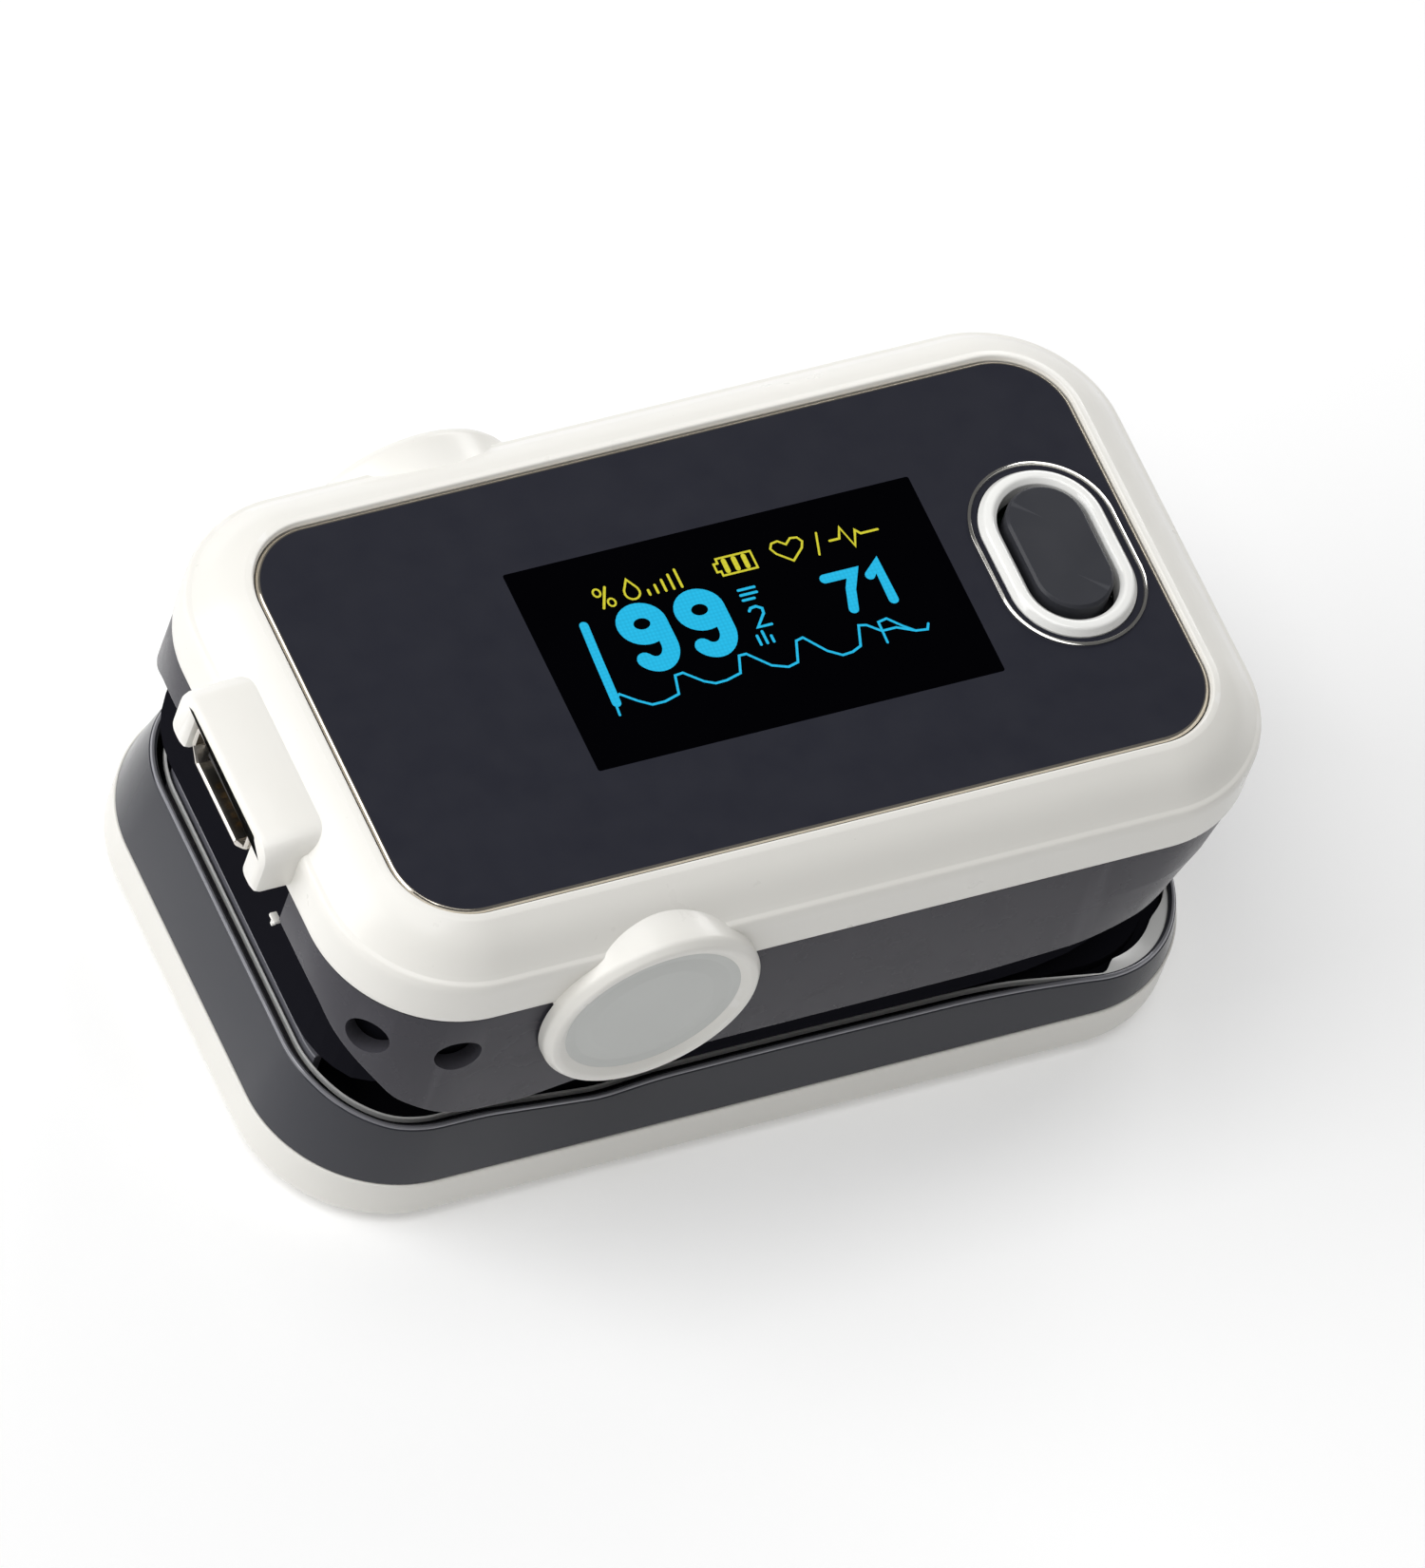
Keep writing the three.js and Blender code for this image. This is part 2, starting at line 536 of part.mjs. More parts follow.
// Display stack under the window
const spacer = subtract(
  block(-13.6, 13.4, -9.6, 9.6, BOARD_TOP_Z + 0.03, OLED_LOW_Z - 0.03),
  block(-12, 12, -8.2, 8.2, 20, 25),
).translate(DISPLAY_X, DISPLAY_Y, 0);
node('display_spacer', spacer, 0xd8d8d4, 0.6);
const oled = plate(OLED_L / 2, OLED_W / 2, 0.3, DISPLAY_X, DISPLAY_Y, OLED_LOW_Z, OLED_TOP_Z);
node('oled_module', oled, 0x0a0a10, 0.1);

const windowOutline = outline(HALF_LENGTH, HALF_WIDTH, CORNER_R, 1, 1, 12);
const windowPlate = skin([
  loop(windowOutline, WINDOW_INSET, WINDOW_LOW_Z),
  loop(windowOutline, WINDOW_INSET, WINDOW_TOP_Z - 0.12),
  loop(windowOutline, WINDOW_INSET + 0.12, WINDOW_TOP_Z),
], false);
const windowHole = plate(BEZEL_HALF_X + 0.05, BEZEL_HALF_Y + 0.05, 3.8, BUTTON_X, 0, 24, 28);
node('display_window', subtract(windowPlate, windowHole), 0x25272e, 0.12);

// Raised stadium-shaped bezel round the button
const bezelOutline = outline(BEZEL_HALF_X, BEZEL_HALF_Y, BEZEL_HALF_X - 0.01, 1, 2, 14);
const bezel = skin([
  loop(bezelOutline, 0, WINDOW_LOW_Z),
  loop(bezelOutline, 0, WINDOW_TOP_Z + 0.1),
  loop(bezelOutline, 0.3, BEZEL_TOP_Z - 0.1),
  loop(bezelOutline, 0.6, BEZEL_TOP_Z),
  loop(bezelOutline, 0.9, BEZEL_TOP_Z - 0.08),
  loop(bezelOutline, 1.1, BEZEL_TOP_Z - 0.35),
  loop(bezelOutline, 1.1, WINDOW_LOW_Z),
], true).translate(BUTTON_X, 0, 0);
node('button_bezel', bezel, 0xeeeeec, 0.15, 0.3);

const switchBody = block(BUTTON_X - 3, BUTTON_X + 3, -3, 3, BOARD_TOP_Z + 0.03, 23.8);
node('tact_switch', subtract(switchBody, cylinderZ(1.4, 22.9, 25, BUTTON_X, 0, 24)), 0x27272a, 0.4);

// Light grey inserts in the side bosses, hinge pins and torsion springs
[['right', -1], ['left', 1]].forEach(([word, side]) => {
  const insert = orientOut(turnedOnHinge([
    [0, side * (BOSS_SEAT_Y + 0.04)], [INSERT_R, side * (BOSS_SEAT_Y + 0.04)],
    [INSERT_R, side * (BOSS_OUT_Y - 0.34)], [INSERT_R - 0.2, side * (BOSS_OUT_Y - 0.22)],
    [0, side * (BOSS_OUT_Y - 0.22)],
  ]));
  node(`side_insert_${word}`, insert, 0xb3b5b4, 0.45);
  const pin = orientOut(turnedOnHinge([
    [0, side * PIN_IN_Y], [PIN_R - 0.2, side * PIN_IN_Y], [PIN_R, side * (PIN_IN_Y + 0.2)],
    [PIN_R, side * PIN_OUT_Y], [0, side * PIN_OUT_Y],
  ], 28));
  node(`hinge_pin_${word}`, pin, 0xa9acb0, 0.25, 1.0);
  node(`hinge_spring_${word}`, torsionSpring(side), 0x9a9da1, 0.3, 1.0);
});

// Two and a quarter turns of wire about the hinge line with one short leg at each end
function torsionSpring(side) {
  const steps = 54;
  const points = [new THREE.Vector3(PIVOT_X - SPRING_MEAN_R, side * SPRING_IN_Y, PIVOT_Z + 2.4)];
  for (let i = 0; i <= steps; i += 1) {
    const turned = (SPRING_TURNS * i) / steps;
    const angle = Math.PI + 2 * Math.PI * turned;
    const y = side * (SPRING_IN_Y + SPRING_PITCH * turned);
    points.push(new THREE.Vector3(
      PIVOT_X + SPRING_MEAN_R * Math.cos(angle),
      y,
      PIVOT_Z + SPRING_MEAN_R * Math.sin(angle),
    ));
  }
  const endY = side * (SPRING_IN_Y + SPRING_PITCH * SPRING_TURNS);
  points.push(new THREE.Vector3(PIVOT_X + 2.6, endY, PIVOT_Z - SPRING_MEAN_R));
  const path = new THREE.CatmullRomCurve3(points, false, 'centripetal');
  const section = new THREE.Shape();
  section.absarc(0, 0, SPRING_WIRE_R, 0, Math.PI * 2);
  const wire = new THREE.ExtrudeGeometry(section, {
    steps: 56, curveSegments: 3, bevelEnabled: false, extrudePath: path,
  });
  return orientOut(wire);
}

// ---------------------------------------------------------------- power button

const capOutline = outline(BUTTON_HALF_X, BUTTON_HALF_Y, BUTTON_HALF_X - 0.01, 1, 2, 12);
const buttonCap = skin([
  loop(capOutline, 0.3, 24.75),
  loop(capOutline, 0, 24.9),
  loop(capOutline, 0, BUTTON_TOP_Z - 0.4),
  loop(capOutline, 0.12, BUTTON_TOP_Z - 0.12),
  loop(capOutline, 0.4, BUTTON_TOP_Z),
], false).translate(BUTTON_X, 0, 0);
node('power_button', buttonCap, 0x303238, 0.4);
node('switch_plunger', cylinderZ(1.1, 23.5, 24.72, BUTTON_X, 0, 20), 0x6c5a35, 0.5);

export default group;
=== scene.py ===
import math

import bmesh
import bpy
from mathutils import Matrix, Vector


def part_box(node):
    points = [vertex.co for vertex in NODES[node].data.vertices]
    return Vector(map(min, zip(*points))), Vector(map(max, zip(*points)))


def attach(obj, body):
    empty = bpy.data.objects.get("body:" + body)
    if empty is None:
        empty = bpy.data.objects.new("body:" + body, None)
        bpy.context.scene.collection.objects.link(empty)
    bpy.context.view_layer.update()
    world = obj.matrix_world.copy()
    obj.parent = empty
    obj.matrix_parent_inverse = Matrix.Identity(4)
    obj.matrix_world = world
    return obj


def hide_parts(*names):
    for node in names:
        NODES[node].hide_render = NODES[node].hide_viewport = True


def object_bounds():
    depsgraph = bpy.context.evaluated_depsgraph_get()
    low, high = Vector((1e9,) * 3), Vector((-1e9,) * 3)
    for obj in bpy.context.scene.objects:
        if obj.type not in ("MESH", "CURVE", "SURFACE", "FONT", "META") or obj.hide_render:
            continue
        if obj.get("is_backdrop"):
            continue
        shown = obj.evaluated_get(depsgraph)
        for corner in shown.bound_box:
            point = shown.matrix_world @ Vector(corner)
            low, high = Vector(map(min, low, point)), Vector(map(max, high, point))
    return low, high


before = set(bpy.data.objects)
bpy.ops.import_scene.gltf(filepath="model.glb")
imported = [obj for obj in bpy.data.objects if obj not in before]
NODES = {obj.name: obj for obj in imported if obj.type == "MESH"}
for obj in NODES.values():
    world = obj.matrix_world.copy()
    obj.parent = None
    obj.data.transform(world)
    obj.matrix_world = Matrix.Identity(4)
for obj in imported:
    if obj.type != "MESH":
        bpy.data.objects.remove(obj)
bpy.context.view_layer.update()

MM = 0.001


def box(node):
    """Lowest and highest corner of a CAD node, in millimetres."""
    low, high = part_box(node)
    return low / MM, high / MM


# ---------------------------------------------------------------- sizes read from the CAD, in millimetres
base_high = box("bottom_cover")[1]
shell_low, shell_high = box("top_cover")
window_low, window_high = box("display_window")
frame_high = box("upper_frame")[1]
lower_low = box("lower_frame")[0]
pin_low, pin_high = box("hinge_pin_left")
insert_low, insert_high = box("side_insert_left")
bezel_low, bezel_high = box("button_bezel")
cap_low, cap_high = box("power_button")
usb_low, usb_high = box("usb_socket")
tongue_low, tongue_high = box("usb_tongue")
lower_pad_low, lower_pad_high = box("lower_finger_pad")
upper_pad_low, upper_pad_high = box("upper_finger_pad")
lower_lens_low, lower_lens_high = box("photodiode_lens")
upper_lens_low, upper_lens_high = box("emitter_lens")

HALF_L = base_high.x
HALF_W = base_high.y
CORNER = 7.9
SHELL_TOP = shell_high.z
SHELL_FOOT = frame_high.z + 0.06
WINDOW_INSET = HALF_L - window_high.x
HINGE_X = (pin_low.x + pin_high.x) / 2
HINGE_Z = (pin_low.z + pin_high.z) / 2
BOSS_R = HINGE_Z - shell_low.z
BOSS_Y = shell_high.y
INSERT_R = (insert_high.x - insert_low.x) / 2
BUTTON_X = (cap_low.x + cap_high.x) / 2
SENSOR_X = (lower_lens_low.x + lower_lens_high.x) / 2
LENS_R = (lower_lens_high.x - lower_lens_low.x) / 2


# ---------------------------------------------------------------- mesh helpers, in millimetres
def outline(half_x, half_y, radius, side=1, end=1, corner=14):
    """Rounded rectangle as (x, y, normal x, normal y), counter-clockwise seen from above."""
    points = []
    corners = [(1, 1, 0), (-1, 1, 90), (-1, -1, 180), (1, -1, 270)]
    for k, (sx, sy, start) in enumerate(corners):
        for i in range(corner + 1):
            a = math.radians(start + 90 * i / corner)
            nx, ny = math.cos(a), math.sin(a)
            x = sx * (half_x - radius) + radius * nx
            y = sy * (half_y - radius) + radius * ny
            points.append((x, y, nx, ny))
        x0, y0, nx, ny = points[-1]
        tx, ty = corners[(k + 1) % 4][:2]
        x1 = tx * (half_x - (radius if k % 2 == 0 else 0))
        y1 = ty * (half_y - (0 if k % 2 == 0 else radius))
        steps = side if k % 2 == 0 else end
        for i in range(1, steps):
            t = i / steps
            points.append((x0 + (x1 - x0) * t, y0 + (y1 - y0) * t, nx, ny))
    return points


def rounded(profile, closed=True, steps=4):
    """Turns each corner (a, b, radius) of a profile into a small arc; a radius of 0 keeps the point."""
    out = []
    for i, (a, b, radius) in enumerate(profile):
        if radius == 0 or (not closed and i in (0, len(profile) - 1)):
            out.append((a, b))
            continue
        p = Vector((a, b))
        u = Vector(profile[i - 1][:2]) - p
        v = Vector(profile[(i + 1) % len(profile)][:2]) - p
        half = u.angle(v) / 2
        cut = min(radius / math.tan(half), 0.48 * u.length, 0.48 * v.length)
        start, finish = p + u.normalized() * cut, p + v.normalized() * cut
        for k in range(steps + 1):
            t = k / steps
            w = start * (1 - t) ** 2 + p * 2 * t * (1 - t) + finish * t * t
            out.append((w.x, w.y))
    return out


def band(points, profile, closed=True, steps=4, shift=(0, 0)):
    """Sweeps a profile of (inset, z, corner radius), which may depend on the point, round an outline."""
    rows = []
    for p in points:
        section = profile(p) if callable(profile) else profile
        rows.append([(p[0] - p[2] * d + shift[0], p[1] - p[3] * d + shift[1], z)
                     for d, z in rounded(section, closed, steps)])
    return sweep(rows, True, closed)


def sweep(rows, around, closed):
    """Quads between rows of points; open rows are capped at their first and last points."""
    n, m = len(rows), len(rows[0])
    verts = [v for row in rows for v in row]
    faces = []
    for i in range(n if around else n - 1):
        a, b = i * m, ((i + 1) % n) * m
        for j in range(m if closed else m - 1):
            k = (j + 1) % m
            faces.append((a + j, b + j, b + k, a + k))
    if around and not closed:
        faces.append(tuple(i * m for i in range(n)))
        faces.append(tuple(i * m + m - 1 for i in range(n)))
    if not around:
        faces.append(tuple(range(m)))
        faces.append(tuple((n - 1) * m + j for j in range(m)))
    return verts, faces


def lathe(profile, centre, axis="y", segments=96, closed=False):
    """Turns (radius, height, corner radius) about a y or z axis through centre."""
    section = rounded(profile, closed)
    rows = []
    for i in range(segments):
        a = 2 * math.pi * i / segments
        c, s = math.cos(a), math.sin(a)
        row = []
        for r, h in section:
            if axis == "y":
                row.append((centre[0] + r * c, h, centre[1] + r * s))
            else:
                row.append((centre[0] + r * c, centre[1] + r * s, h))
        rows.append(row)
    return sweep(rows, True, closed)


def block(x0, x1, y0, y1, z0, z1, edge, steps=3):
    """A block with every edge rounded."""
    bm = bmesh.new()
    bmesh.ops.create_cube(bm, size=1)
    for v in bm.verts:
        v.co = Vector((x0 if v.co.x < 0 else x1, y0 if v.co.y < 0 else y1, z0 if v.co.z < 0 else z1))
    bmesh.ops.bevel(bm, geom=bm.edges[:], offset=edge, segments=steps, affect="EDGES", profile=0.5)
    return taken(bm)


def taken(bm):
    """Points and faces of a bmesh, which is freed."""
    bm.verts.index_update()
    verts = [tuple(v.co) for v in bm.verts]
    faces = [tuple(v.index for v in f.verts) for f in bm.faces]
    bm.free()
    return verts, faces


def placed(part, matrix):
    """A mesh part moved by a matrix."""
    return [tuple(matrix @ Vector(v)) for v in part[0]], part[1]


def tube(points, radius, sides):
    """A round wire along a line of points, with its ends closed."""
    path = [Vector(p) for p in points]
    rows = []
    normal = (path[1] - path[0]).orthogonal().normalized()
    for i, p in enumerate(path):
        tangent = (path[min(i + 1, len(path) - 1)] - path[max(i - 1, 0)]).normalized()
        normal = (normal - tangent * normal.dot(tangent)).normalized()
        other = tangent.cross(normal)
        rows.append([tuple(p + (normal * math.cos(t) + other * math.sin(t)) * radius)
                     for t in (2 * math.pi * k / sides for k in range(sides))])
    return sweep(rows, False, True)


def stroke(points, width, z, closed=False):
    """A flat ribbon with round ends and mitred bends, drawn on the display."""
    path = [Vector(p) for p in points]
    n = len(path)
    verts, faces = [], []
    for i, p in enumerate(path):
        before = p - path[i - 1] if closed or i > 0 else None
        after = path[(i + 1) % n] - p if closed or i < n - 1 else None
        d1 = (before or after).normalized()
        d2 = (after or before).normalized()
        side = (d1 + d2).normalized()
        side = Vector((-side.y, side.x))
        reach = width / 2 / max(0.5, side.dot(Vector((-d1.y, d1.x))))
        verts += [(*(p + side * reach), z), (*(p - side * reach), z)]
    for i in range(n if closed else n - 1):
        a, b = 2 * i, 2 * ((i + 1) % n)
        faces.append((a, a + 1, b + 1, b))
    if not closed:
        for p, q in ((path[0], path[1]), (path[-1], path[-2])):
            away = (p - q).normalized()
            turn = math.atan2(away.y, away.x)
            first = len(verts)
            verts += [(p.x + width / 2 * math.cos(turn + t), p.y + width / 2 * math.sin(turn + t), z)
                      for t in (math.pi * (k / 8 - 0.5) for k in range(9))]
            faces.append(tuple(range(first, first + 9)))
    return verts, faces


def arc(cx, cy, rx, ry, start, finish, steps):
    """Points along part of an ellipse; the angles are in degrees."""
    angles = [math.radians(start + (finish - start) * i / steps) for i in range(steps + 1)]
    return [(cx + rx * math.cos(a), cy + ry * math.sin(a)) for a in angles]


def piece(name, parts, material, body, replaces=(), sharp=32, flat=False):
    """One shown object made of mesh parts in millimetres."""
    verts, faces = [], []
    for v, f in parts:
        shift = len(verts)
        verts += [Vector(p) * MM for p in v]
        faces += [tuple(i + shift for i in face) for face in f]
    mesh = bpy.data.meshes.new(name)
    mesh.from_pydata(verts, [], faces)
    bm = bmesh.new()
    bm.from_mesh(mesh)
    bmesh.ops.remove_doubles(bm, verts=bm.verts[:], dist=1e-8)
    if flat:
        for f in bm.faces:
            f.normal_update()
            if f.normal.z < 0:
                f.normal_flip()
    else:
        bmesh.ops.recalc_face_normals(bm, faces=bm.faces[:])
    bm.to_mesh(mesh)
    bm.free()
    obj = bpy.data.objects.new(name, mesh)
    bpy.context.scene.collection.objects.link(obj)
    mesh.materials.append(material)
    mesh.shade_smooth()
    mesh.set_sharp_from_angle(angle=math.radians(sharp))
    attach(obj, body)
    if replaces:
        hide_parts(*replaces)
    return obj


def cut(obj, parts, sharp=32):
    """Cuts closed mesh parts out of a piece and keeps the result as its mesh."""
    tools = []
    for v, f in parts:
        mesh = bpy.data.meshes.new("tool")
        mesh.from_pydata([Vector(p) * MM for p in v], [], f)
        bm = bmesh.new()
        bm.from_mesh(mesh)
        bmesh.ops.recalc_face_normals(bm, faces=bm.faces[:])
        bm.to_mesh(mesh)
        bm.free()
        tool = bpy.data.objects.new("tool", mesh)
        bpy.context.scene.collection.objects.link(tool)
        modifier = obj.modifiers.new("cut", "BOOLEAN")
        modifier.operation = "DIFFERENCE"
        modifier.solver = "EXACT"
        modifier.object = tool
        tools.append(tool)
    shown = obj.evaluated_get(bpy.context.evaluated_depsgraph_get())
    mesh = bpy.data.meshes.new_from_object(shown)
    obj.modifiers.clear()
    obj.data = mesh
    mesh.shade_smooth()
    mesh.set_sharp_from_angle(angle=math.radians(sharp))
    for tool in tools:
        bpy.data.objects.remove(tool)


# ---------------------------------------------------------------- materials
CLOUD_SCALE = 160
DRIFT_SCALE = 420
ROUGH_DRIFT = 0.06
COAT_ROUGH = 0.06
BUMP_DEPTH = 0.00002
WEAR_AND_HIGHLIGHT_FROM, WEAR_AND_HIGHLIGHT_TO = 0.52, 0.62
CELL_SCALE = 4200


def linear(r, g, b):
    """Linear colour from 8-bit display values."""
    parts = (c / 255 for c in (r, g, b))
    return [(c / 12.92 if c <= 0.04045 else ((c + 0.055) / 1.055) ** 2.4) for c in parts] + [1]


def surface(name, color, rough, metal=0.0, specular=0.5, vary=0.04, grain=2400, bump=0.05,
            streak=(1, 1, 1), wear_and_highlight=0.0, coat=0.0, edge=0.0, sheen=0.0):
    """Moulded or metal finish: soft mottling, roughness drift, fine grain in the bump and edges lightened by
    pointiness, which are rubbed wear on most parts and painted highlight on the button cap's bevel.
    """
    material = bpy.data.materials.new(name)
    material.use_nodes = True
    tree = material.node_tree
    shader = tree.nodes["Principled BSDF"]
    make, link = tree.nodes.new, tree.links.new
    shader.inputs["Metallic"].default_value = metal
    shader.inputs["Specular IOR Level"].default_value = specular
    shader.inputs["Coat Weight"].default_value = coat
    shader.inputs["Coat Roughness"].default_value = COAT_ROUGH
    shader.inputs["Sheen Weight"].default_value = sheen
    where = make("ShaderNodeTexCoord")
    stretch = make("ShaderNodeMapping")
    stretch.inputs["Scale"].default_value = streak
    link(where.outputs["Object"], stretch.inputs["Vector"])

    cloud = make("ShaderNodeTexNoise")
    cloud.inputs["Scale"].default_value = CLOUD_SCALE
    cloud.inputs["Detail"].default_value = 5
    link(stretch.outputs["Vector"], cloud.inputs["Vector"])
    tint = make("ShaderNodeMix")
    tint.data_type = "RGBA"
    tint.inputs["A"].default_value = [c * (1 - vary) for c in color[:3]] + [1]
    tint.inputs["B"].default_value = [min(1, c * (1 + vary)) for c in color[:3]] + [1]
    link(cloud.outputs["Fac"], tint.inputs["Factor"])
    shade = tint.outputs["Result"]

    # Pointiness lightens edges: rubbed wear, and on the button cap painted highlight.
    if wear_and_highlight > 0:
        form = make("ShaderNodeNewGeometry")
        rim = make("ShaderNodeMapRange")
        rim.inputs["From Min"].default_value = WEAR_AND_HIGHLIGHT_FROM
        rim.inputs["From Max"].default_value = WEAR_AND_HIGHLIGHT_TO
        rim.inputs["To Max"].default_value = wear_and_highlight
        link(form.outputs["Pointiness"], rim.inputs["Value"])
        wear_and_highlight_mix = make("ShaderNodeMix")
        wear_and_highlight_mix.data_type = "RGBA"
        wear_and_highlight_mix.inputs["B"].default_value = [min(1, c * 1.35 + 0.03) for c in color[:3]] + [1]
        link(rim.outputs["Result"], wear_and_highlight_mix.inputs["Factor"])
        link(shade, wear_and_highlight_mix.inputs["A"])
        shade = wear_and_highlight_mix.outputs["Result"]
    link(shade, shader.inputs["Base Color"])

    drift = make("ShaderNodeTexNoise")
    drift.inputs["Scale"].default_value = DRIFT_SCALE
    drift.inputs["Detail"].default_value = 4
    link(stretch.outputs["Vector"], drift.inputs["Vector"])
    spread = make("ShaderNodeMapRange")
    spread.inputs["From Min"].default_value = 0.3
    spread.inputs["From Max"].default_value = 0.7
    spread.inputs["To Min"].default_value = max(0.02, rough - ROUGH_DRIFT)
    spread.inputs["To Max"].default_value = min(1, rough + ROUGH_DRIFT)
    link(drift.outputs["Fac"], spread.inputs["Value"])
    link(spread.outputs["Result"], shader.inputs["Roughness"])

    fine = make("ShaderNodeTexNoise")
    fine.inputs["Scale"].default_value = grain
    fine.inputs["Detail"].default_value = 3
    link(stretch.outputs["Vector"], fine.inputs["Vector"])
    relief = make("ShaderNodeBump")
    relief.inputs["Strength"].default_value = bump
    relief.inputs["Distance"].default_value = BUMP_DEPTH
    link(fine.outputs["Fac"], relief.inputs["Height"])
    if edge > 0:
        soften = make("ShaderNodeBevel")
        soften.samples = 4
        soften.inputs["Radius"].default_value = edge
        link(soften.outputs["Normal"], relief.inputs["Normal"])
    link(relief.outputs["Normal"], shader.inputs["Normal"])
    return material


def glowing(name, color, strength):
    """Lit display pixels: a fine cell pattern dims the light a little between the dots."""
    material = bpy.data.materials.new(name)
    material.use_nodes = True
    tree = material.node_tree
    shader = tree.nodes["Principled BSDF"]
    make, link = tree.nodes.new, tree.links.new
    shader.inputs["Base Color"].default_value = [c * 0.02 for c in color[:3]] + [1]
    shader.inputs["Roughness"].default_value = 0.5
    shader.inputs["Specular IOR Level"].default_value = 0.0
    shader.inputs["Emission Strength"].default_value = strength
    where = make("ShaderNodeTexCoord")
    cells = make("ShaderNodeTexVoronoi")
    cells.inputs["Scale"].default_value = CELL_SCALE
    cells.inputs["Randomness"].default_value = 0.15
    link(where.outputs["Object"], cells.inputs["Vector"])
    mix = make("ShaderNodeMix")
    mix.data_type = "RGBA"
    mix.inputs["A"].default_value = color
    mix.inputs["B"].default_value = [c * 0.72 for c in color[:3]] + [1]
    link(cells.outputs["Distance"], mix.inputs["Factor"])
    link(mix.outputs["Result"], shader.inputs["Emission Color"])
    return material


white_shell = surface("white_shell", linear(238, 236, 230), 0.33, vary=0.012, wear_and_highlight=0.25, bump=0.06, coat=0.12)
white_base = surface("white_base", linear(233, 231, 225), 0.36, vary=0.014, wear_and_highlight=0.2, bump=0.06, coat=0.1)
dark_frame = surface("dark_frame", linear(66, 65, 71), 0.26, specular=0.12, vary=0.05, wear_and_highlight=0.35, bump=0.03)
lower_dark = surface("lower_dark", linear(56, 57, 63), 0.17, specular=0.3, vary=0.05, wear_and_highlight=0.4, bump=0.02,
                     coat=0.06)
tray_black = surface("tray_black", linear(24, 24, 29), 0.5, specular=0.0, vary=0.1, bump=0.2, edge=0.00012)
# Light grey, part-metal colour for the lower frame's edge bead: painted highlight, lighter than the dark frame
# it belongs to.
rim_painted_highlight = surface("rim_painted_highlight", linear(150, 150, 156), 0.16, metal=0.4, vary=0.03, bump=0.02)
# Mid grey: on the tray's rear wall it is painted highlight for light along the wall's top edge.
ledge_grey = surface("ledge_grey", linear(124, 124, 132), 0.3, vary=0.05, bump=0.05)
# Near-white for the dark lower ledge: painted reflection, standing in for the bright crescent a glossy step
# reflects at the mouth.
ledge_painted_reflection = surface("ledge_painted_reflection", linear(232, 232, 230), 0.2, vary=0.03, bump=0.03)
pad_silicone = surface("pad_silicone", linear(30, 30, 34), 0.62, vary=0.1, grain=3600, bump=0.35, sheen=0.25)
board_green = surface("board_green", linear(24, 86, 56), 0.4, vary=0.12, grain=900, bump=0.25, edge=0.00008)
sensor_chip = surface("sensor_chip", linear(20, 20, 24), 0.16, vary=0.1, edge=0.00006)
battery_wrap = surface("battery_wrap", linear(182, 186, 192), 0.34, metal=0.5, vary=0.06, grain=700, bump=0.2,
                       edge=0.0002)
screw_steel = surface("screw_steel", linear(150, 152, 156), 0.28, metal=1, vary=0.1, streak=(1, 1, 0.1),
                      bump=0.1, edge=0.00008)
led_epoxy = surface("led_epoxy", linear(230, 226, 200), 0.2, vary=0.05, edge=0.00008)
chip_black = surface("chip_black", linear(24, 24, 27), 0.5, vary=0.1, bump=0.3, edge=0.00008)
usb_metal = surface("usb_metal", linear(205, 200, 192), 0.24, metal=1, vary=0.06, streak=(0.1, 1, 1),
                    bump=0.08)
contact_gold = surface("contact_gold", linear(212, 175, 110), 0.25, metal=1, vary=0.06)
spacer_white = surface("spacer_white", linear(216, 216, 212), 0.55, vary=0.05, edge=0.0001)
oled_glass = surface("oled_glass", linear(3, 3, 5), 0.2, specular=0.0, vary=0.2, bump=0.0)
window_dark = surface("window_dark", linear(37, 38, 47), 0.4, specular=0.12, vary=0.04, bump=0.02)
window_edge = surface("window_edge", linear(226, 218, 204), 0.1, metal=1, vary=0.03, bump=0.0)
bezel_white = surface("bezel_white", linear(248, 248, 245), 0.16, vary=0.01, bump=0.02, coat=0.5, wear_and_highlight=0.15)
trim_chrome = surface("trim_chrome", linear(222, 220, 214), 0.12, metal=1, vary=0.03, bump=0.02)
insert_grey = surface("insert_grey", linear(204, 206, 203), 0.4, vary=0.02, grain=3000, bump=0.1)
pin_steel = surface("pin_steel", linear(169, 172, 176), 0.22, metal=1, vary=0.08, streak=(1, 0.1, 1),
                    edge=0.00008)
spring_steel = surface("spring_steel", linear(154, 157, 161), 0.26, metal=1, vary=0.08)
# The strong edge lightening here is painted highlight, standing in for the bright bevel line on the button
# cap.
button_dark = surface("button_dark", linear(56, 57, 62), 0.34, specular=0.2, vary=0.04, bump=0.03, wear_and_highlight=0.5)
plunger_brown = surface("plunger_brown", linear(108, 90, 53), 0.5, vary=0.08, edge=0.0001)
display_cyan = glowing("display_cyan", linear(44, 192, 238), 1.0)
display_yellow = glowing("display_yellow", linear(222, 216, 62), 0.95)

lens_clear = surface("lens_clear", linear(200, 206, 212), 0.08, vary=0.03, bump=0.0)
lens_clear.node_tree.nodes["Principled BSDF"].inputs["Transmission Weight"].default_value = 0.7

